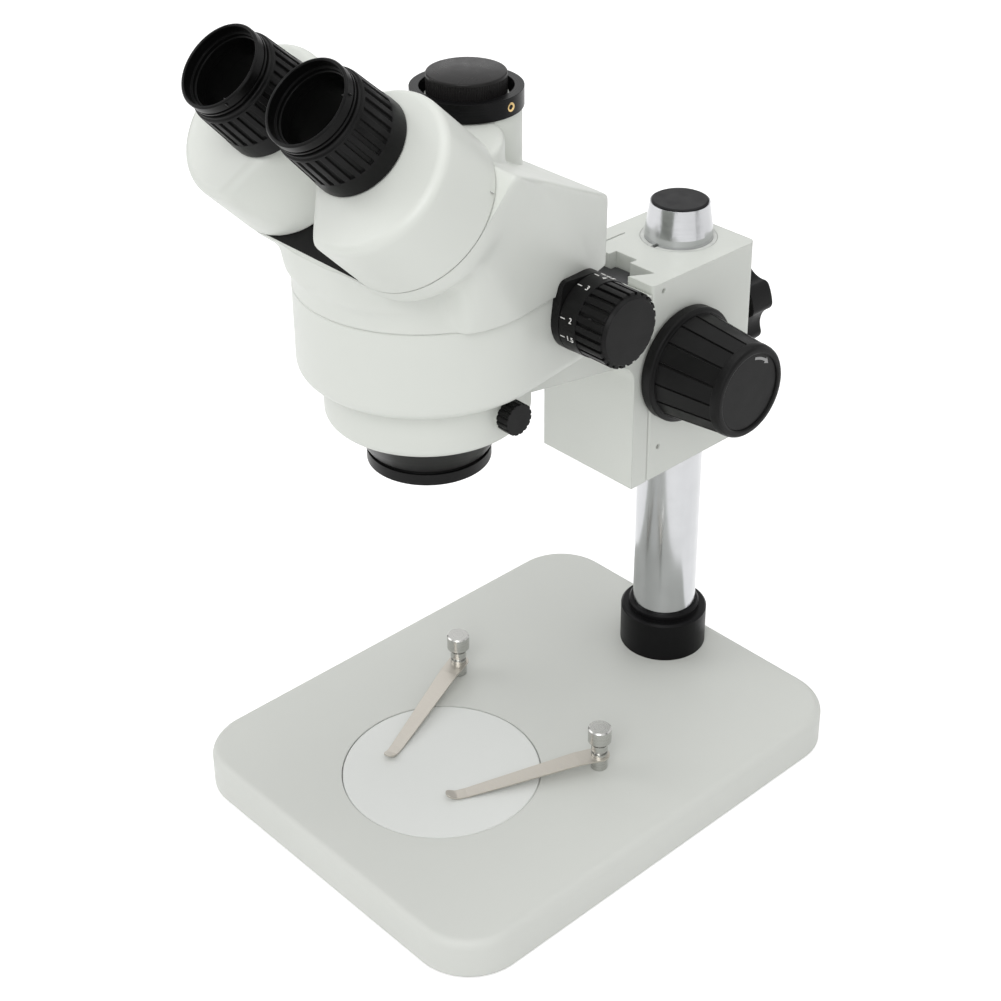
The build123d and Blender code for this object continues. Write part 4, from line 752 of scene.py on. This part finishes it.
def make_set_screw(name, place, outward, radius, material, body, slot, sunk=0.15):
    """A grub screw with a recess in its face, which lies sunk - 0.3 mm below place."""
    axis = Vector(outward).normalized()
    turns = [(2 * pi * step / SCREW_STEPS, 0) for step in range(SCREW_STEPS)]
    rows = plain((0, -3.0), (radius, -3.0), (radius, 0.15), (radius * 0.82, 0.3), (radius * 0.56, 0.3),
                 (radius * 0.5, 0.1), (radius * 0.5, -1.6), (0, -1.9))
    data = turned(name, rows, Vector(place) - axis * sunk, axis, turns)
    finish_mesh(name, data, material, body, slot)


# Name, side, angle round the eyepiece tube, and height along it
RIM_SCREWS = (("left", -1, -42.0, 64.2), ("right", 1, 30.0, 64.2))
DRUM_SCREW_ANGLE = 28.5
PORT_SCREW_ANGLE = 6.5
RING_SCREW_ANGLE = -86.9
ZOOM_SCREW_ANGLE = 23.0


def level_way(angle):
    """The level direction at this many degrees from +X."""
    return Vector((cos(radians(angle)), sin(radians(angle)), 0))


def seat_way(angle):
    """The direction along the seat at this many degrees from +X."""
    return Vector((cos(radians(angle)), EYE_TILT * sin(radians(angle)), EYE_TILT * sin(radians(angle))))


def dial_way(angle):
    """The direction away from the zoom axis at this many degrees above the operator's side."""
    return Vector((0, -cos(radians(angle)), sin(radians(angle))))


def make_screws(steel, dark, brass):
    """The small screws that the photograph shows on the head, its ring and its controls."""
    for name, side, angle, height in RIM_SCREWS:
        way = seat_way(angle)
        place = seat_point(side * EYE_X, EYE_U, height) + way * 18.3
        make_set_screw(f"rim_screw_{name}", place, way, 0.9, dark, f"{name}_prism", "steel")
    way = seat_way(DRUM_SCREW_ANGLE)
    make_set_screw("drum_screw", seat_point(PRISM_X, 0, 2.2) + way * 34.75, way, 1.2, steel, "right_prism",
                   "steel")
    way = level_way(PORT_SCREW_ANGLE)
    make_set_screw("port_screw", Vector(PORT) + Vector((0, 0, 354.5)) + way * 23.2, way, 2.0, brass, "head",
                   "brass")
    way = level_way(RING_SCREW_ANGLE)
    make_set_screw("ring_screw", Vector(OPTIC) + Vector((0, 0, 238.4)) + way * 44.0, way, 1.7, dark,
                   "focus_carriage", "steel", sunk=0.5)
    way = dial_way(ZOOM_SCREW_ANGLE)
    make_set_screw("zoom_screw", Vector(ZOOM) + Vector((70.5, 0, 0)) + way * 15.6, way, 1.5, dark,
                   "zoom_control", "steel")


# Figures on the zoom dial and their angles; the rest in mm from the zoom axis and along it
DIAL_MARKS = (("0.7", -101), ("1", -60), ("1.5", -14), ("2", 14), ("3", 66), ("4", 99), ("4.5", 112.5))
MARK_RADIUS = 16.98
TICK_ENDS = (57.0, 59.4)
TICK_RADIUS = 0.2
FIGURE_X = 62.3
FIGURE_SIZE = 3.4
FIGURE_RELIEF = 0.08


def ride_dial(piece):
    """A tick or figure turns with the zoom control."""
    bpy.context.scene.collection.objects.link(piece)
    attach(piece, "zoom_control")


def make_dials(material):
    """White zoom figures and their ticks on both dials."""
    for side, name in ((-1, "left"), (1, "right")):
        for number, (figure, angle) in enumerate(DIAL_MARKS):
            way = dial_way(angle)
            round_way = way.cross(Vector(ACROSS))
            middle = Vector(ZOOM) + way * MARK_RADIUS
            tick = bpy.data.curves.new(f"tick_{name}_{number}", "CURVE")
            tick.dimensions = "3D"
            tick.bevel_depth = TICK_RADIUS * MM
            tick.bevel_resolution = 2
            line = tick.splines.new("POLY")
            line.points.add(1)
            for point, x in zip(line.points, TICK_ENDS):
                place = (middle + Vector((side * x, 0, 0))) * MM
                point.co = (*place, 1)
            tick.materials.append(material)
            ride_dial(bpy.data.objects.new(tick.name, tick))
            text = bpy.data.curves.new(f"figure_{name}_{number}", "FONT")
            text.body = figure
            text.size = FIGURE_SIZE * MM
            text.extrude = FIGURE_RELIEF * MM
            text.align_x = "CENTER"
            text.align_y = "CENTER"
            text.materials.append(material)
            piece = bpy.data.objects.new(text.name, text)
            turn = Matrix((Vector(ACROSS), round_way, way)).transposed().to_4x4()
            piece.matrix_world = Matrix.Translation((middle + Vector((side * FIGURE_X, 0, 0))) * MM) @ turn
            ride_dial(piece)


def make_arrow(material):
    """A curved arrow on the right focus knob's cap."""
    centre = Vector(PINION) + Vector((70.0, 0, 0))
    build = bmesh.new()

    def spot(radius, angle, height):
        way = Vector((0, cos(radians(angle)), sin(radians(angle))))
        return build.verts.new((centre + way * radius + Vector((height, 0, 0))) * MM)

    angles = [80 - 29 * step / 12 for step in range(13)]
    outline = [(16.75, angle) for angle in angles]
    outline += [(17.6, 51.0), (15.9, 40.5), (14.6, 51.0)]
    outline += [(15.45, angle) for angle in reversed(angles)]
    low = [spot(radius, angle, -0.05) for radius, angle in outline]
    high = [spot(radius, angle, 0.06) for radius, angle in outline]
    build.faces.new(low)
    build.faces.new(high[::-1])
    for step in range(len(low)):
        after = (step + 1) % len(low)
        build.faces.new((low[step], high[step], high[after], low[after]))
    bmesh.ops.recalc_face_normals(build, faces=build.faces)
    data = bpy.data.meshes.new("turn_arrow")
    build.to_mesh(data)
    build.free()
    finish_mesh("turn_arrow", data, material, "pinion", "white_paint")


FLOOR_HALF = 3.0
FLOOR_GLOW = 0.42
WORLD_LEVEL = 0.55
SHOWN_RAYS = ("Is Camera Ray", "Is Glossy Ray", "Is Transmission Ray")
# Azimuth in degrees and width in metres of the dark cards that bright metal reflects
CARDS = ((-18.0, 0.35), (112.0, 0.5), (195.0, 0.45), (268.0, 0.5))
CARD_DISTANCE = 1.6
CARD_HEIGHT = 1.6
# Name, place and diameter in metres, and power in watts
LAMPS = (
    ("key", (0.9, -1.3, 1.5), 1.2, 14.0),
    ("fill", (-1.3, -0.9, 1.1), 1.2, 5.0),
    ("top", (0.1, 0.2, 1.9), 1.4, 8.0),
)
LAMP_TARGET = (0, 0, 0.2)


def shown_to(tree):
    """1 for the camera's rays and for those that metal and glass send on, else 0."""
    path = tree.nodes.new("ShaderNodeLightPath")
    shown = path.outputs[SHOWN_RAYS[0]]
    for ray in SHOWN_RAYS[1:]:
        either = tree.nodes.new("ShaderNodeMath")
        either.operation = "MAXIMUM"
        tree.links.new(shown, either.inputs[0])
        tree.links.new(path.outputs[ray], either.inputs[1])
        shown = either.outputs[0]
    return shown


def make_stage_sheet(name, corners, made):
    """A flat sheet of the studio, which isn't part of the object."""
    data = bpy.data.meshes.new(name)
    data.from_pydata(corners, [], [(0, 1, 2, 3)])
    data.materials.append(made.material)
    sheet = bpy.data.objects.new(name, data)
    bpy.context.scene.collection.objects.link(sheet)
    return sheet


def make_floor():
    """A plain pale floor that looks white and keeps the object's shadow."""
    made = Shader("floor_paper")
    made.colour(made.mixed(made.noise(30, detail=4), (0.93, 0.93, 0.93, 1), (0.96, 0.96, 0.96, 1)))
    made.fixed(Roughness=0.9)
    part = made.node("ShaderNodeMath", operation="MULTIPLY")
    made.join(shown_to(made.tree), part.inputs[0])
    part.inputs[1].default_value = FLOOR_GLOW
    glow = made.node("ShaderNodeEmission")
    made.join(part.outputs[0], glow.inputs["Strength"])
    add = made.node("ShaderNodeAddShader")
    made.join(made.surface.outputs[0], add.inputs[0])
    made.join(glow.outputs[0], add.inputs[1])
    made.join(add.outputs[0], made.tree.nodes["Material Output"].inputs["Surface"])
    half = FLOOR_HALF
    corners = [(-half, -half, 0), (half, -half, 0), (half, half, 0), (-half, half, 0)]
    make_stage_sheet("floor", corners, made)


def make_world():
    """White surroundings, which light the object at a lower level."""
    world = bpy.data.worlds.new("studio")
    bpy.context.scene.world = world
    world.use_nodes = True
    tree = world.node_tree
    back = tree.nodes["Background"]
    back.inputs["Color"].default_value = (1, 1, 1, 1)
    level = tree.nodes.new("ShaderNodeMapRange")
    level.inputs["To Min"].default_value = WORLD_LEVEL
    level.inputs["To Max"].default_value = 1.0
    tree.links.new(shown_to(tree), level.inputs["Value"])
    tree.links.new(level.outputs[0], back.inputs["Strength"])


def make_cards():
    """Upright dark cards that only reflections show."""
    for number, (azimuth, wide) in enumerate(CARDS):
        way = Vector((sin(radians(azimuth)), -cos(radians(azimuth)), 0))
        aside = Vector((way.y, -way.x, 0)) * wide / 2
        low = way * CARD_DISTANCE
        high = low + Vector((0, 0, CARD_HEIGHT))
        made = Shader(f"dark_card_{number}")
        made.colour(made.mixed(made.noise(8), (0.02, 0.02, 0.02, 1), (0.03, 0.03, 0.03, 1)))
        made.fixed(Roughness=1.0, Specular_IOR_Level=0.0)
        corners = [low - aside, low + aside, high + aside, high - aside]
        card = make_stage_sheet(f"dark_card_{number}", corners, made)
        for ray in ("camera", "diffuse", "transmission", "volume_scatter", "shadow"):
            setattr(card, f"visible_{ray}", False)


def make_lamps():
    """Three large soft lamps."""
    for name, place, size, power in LAMPS:
        data = bpy.data.lights.new(name, "AREA")
        data.shape = "DISK"
        data.size = size
        data.energy = power
        lamp = bpy.data.objects.new(name, data)
        lamp.location = place
        lamp.rotation_mode = "QUATERNION"
        lamp.rotation_quaternion = (Vector(LAMP_TARGET) - Vector(place)).to_track_quat("-Z", "Y")
        bpy.context.scene.collection.objects.link(lamp)


bpy.context.scene.view_settings.view_transform = "Standard"
make_camera()
make_floor()
make_world()
make_cards()
make_lamps()
look = dress_cad()
make_casing(look["body"])
make_seat_plate(look["seat"])
make_drums(look["body"])
make_port_tube(look["body"])
make_eyepieces(look, look["diopter"])
make_focus_knobs(look["knob"])
make_port_cap(look["port_cap"])
make_screws(look["steel"], look["dark_screw"], look["brass"])
make_dials(look["figures"])
make_arrow(look["arrow"])
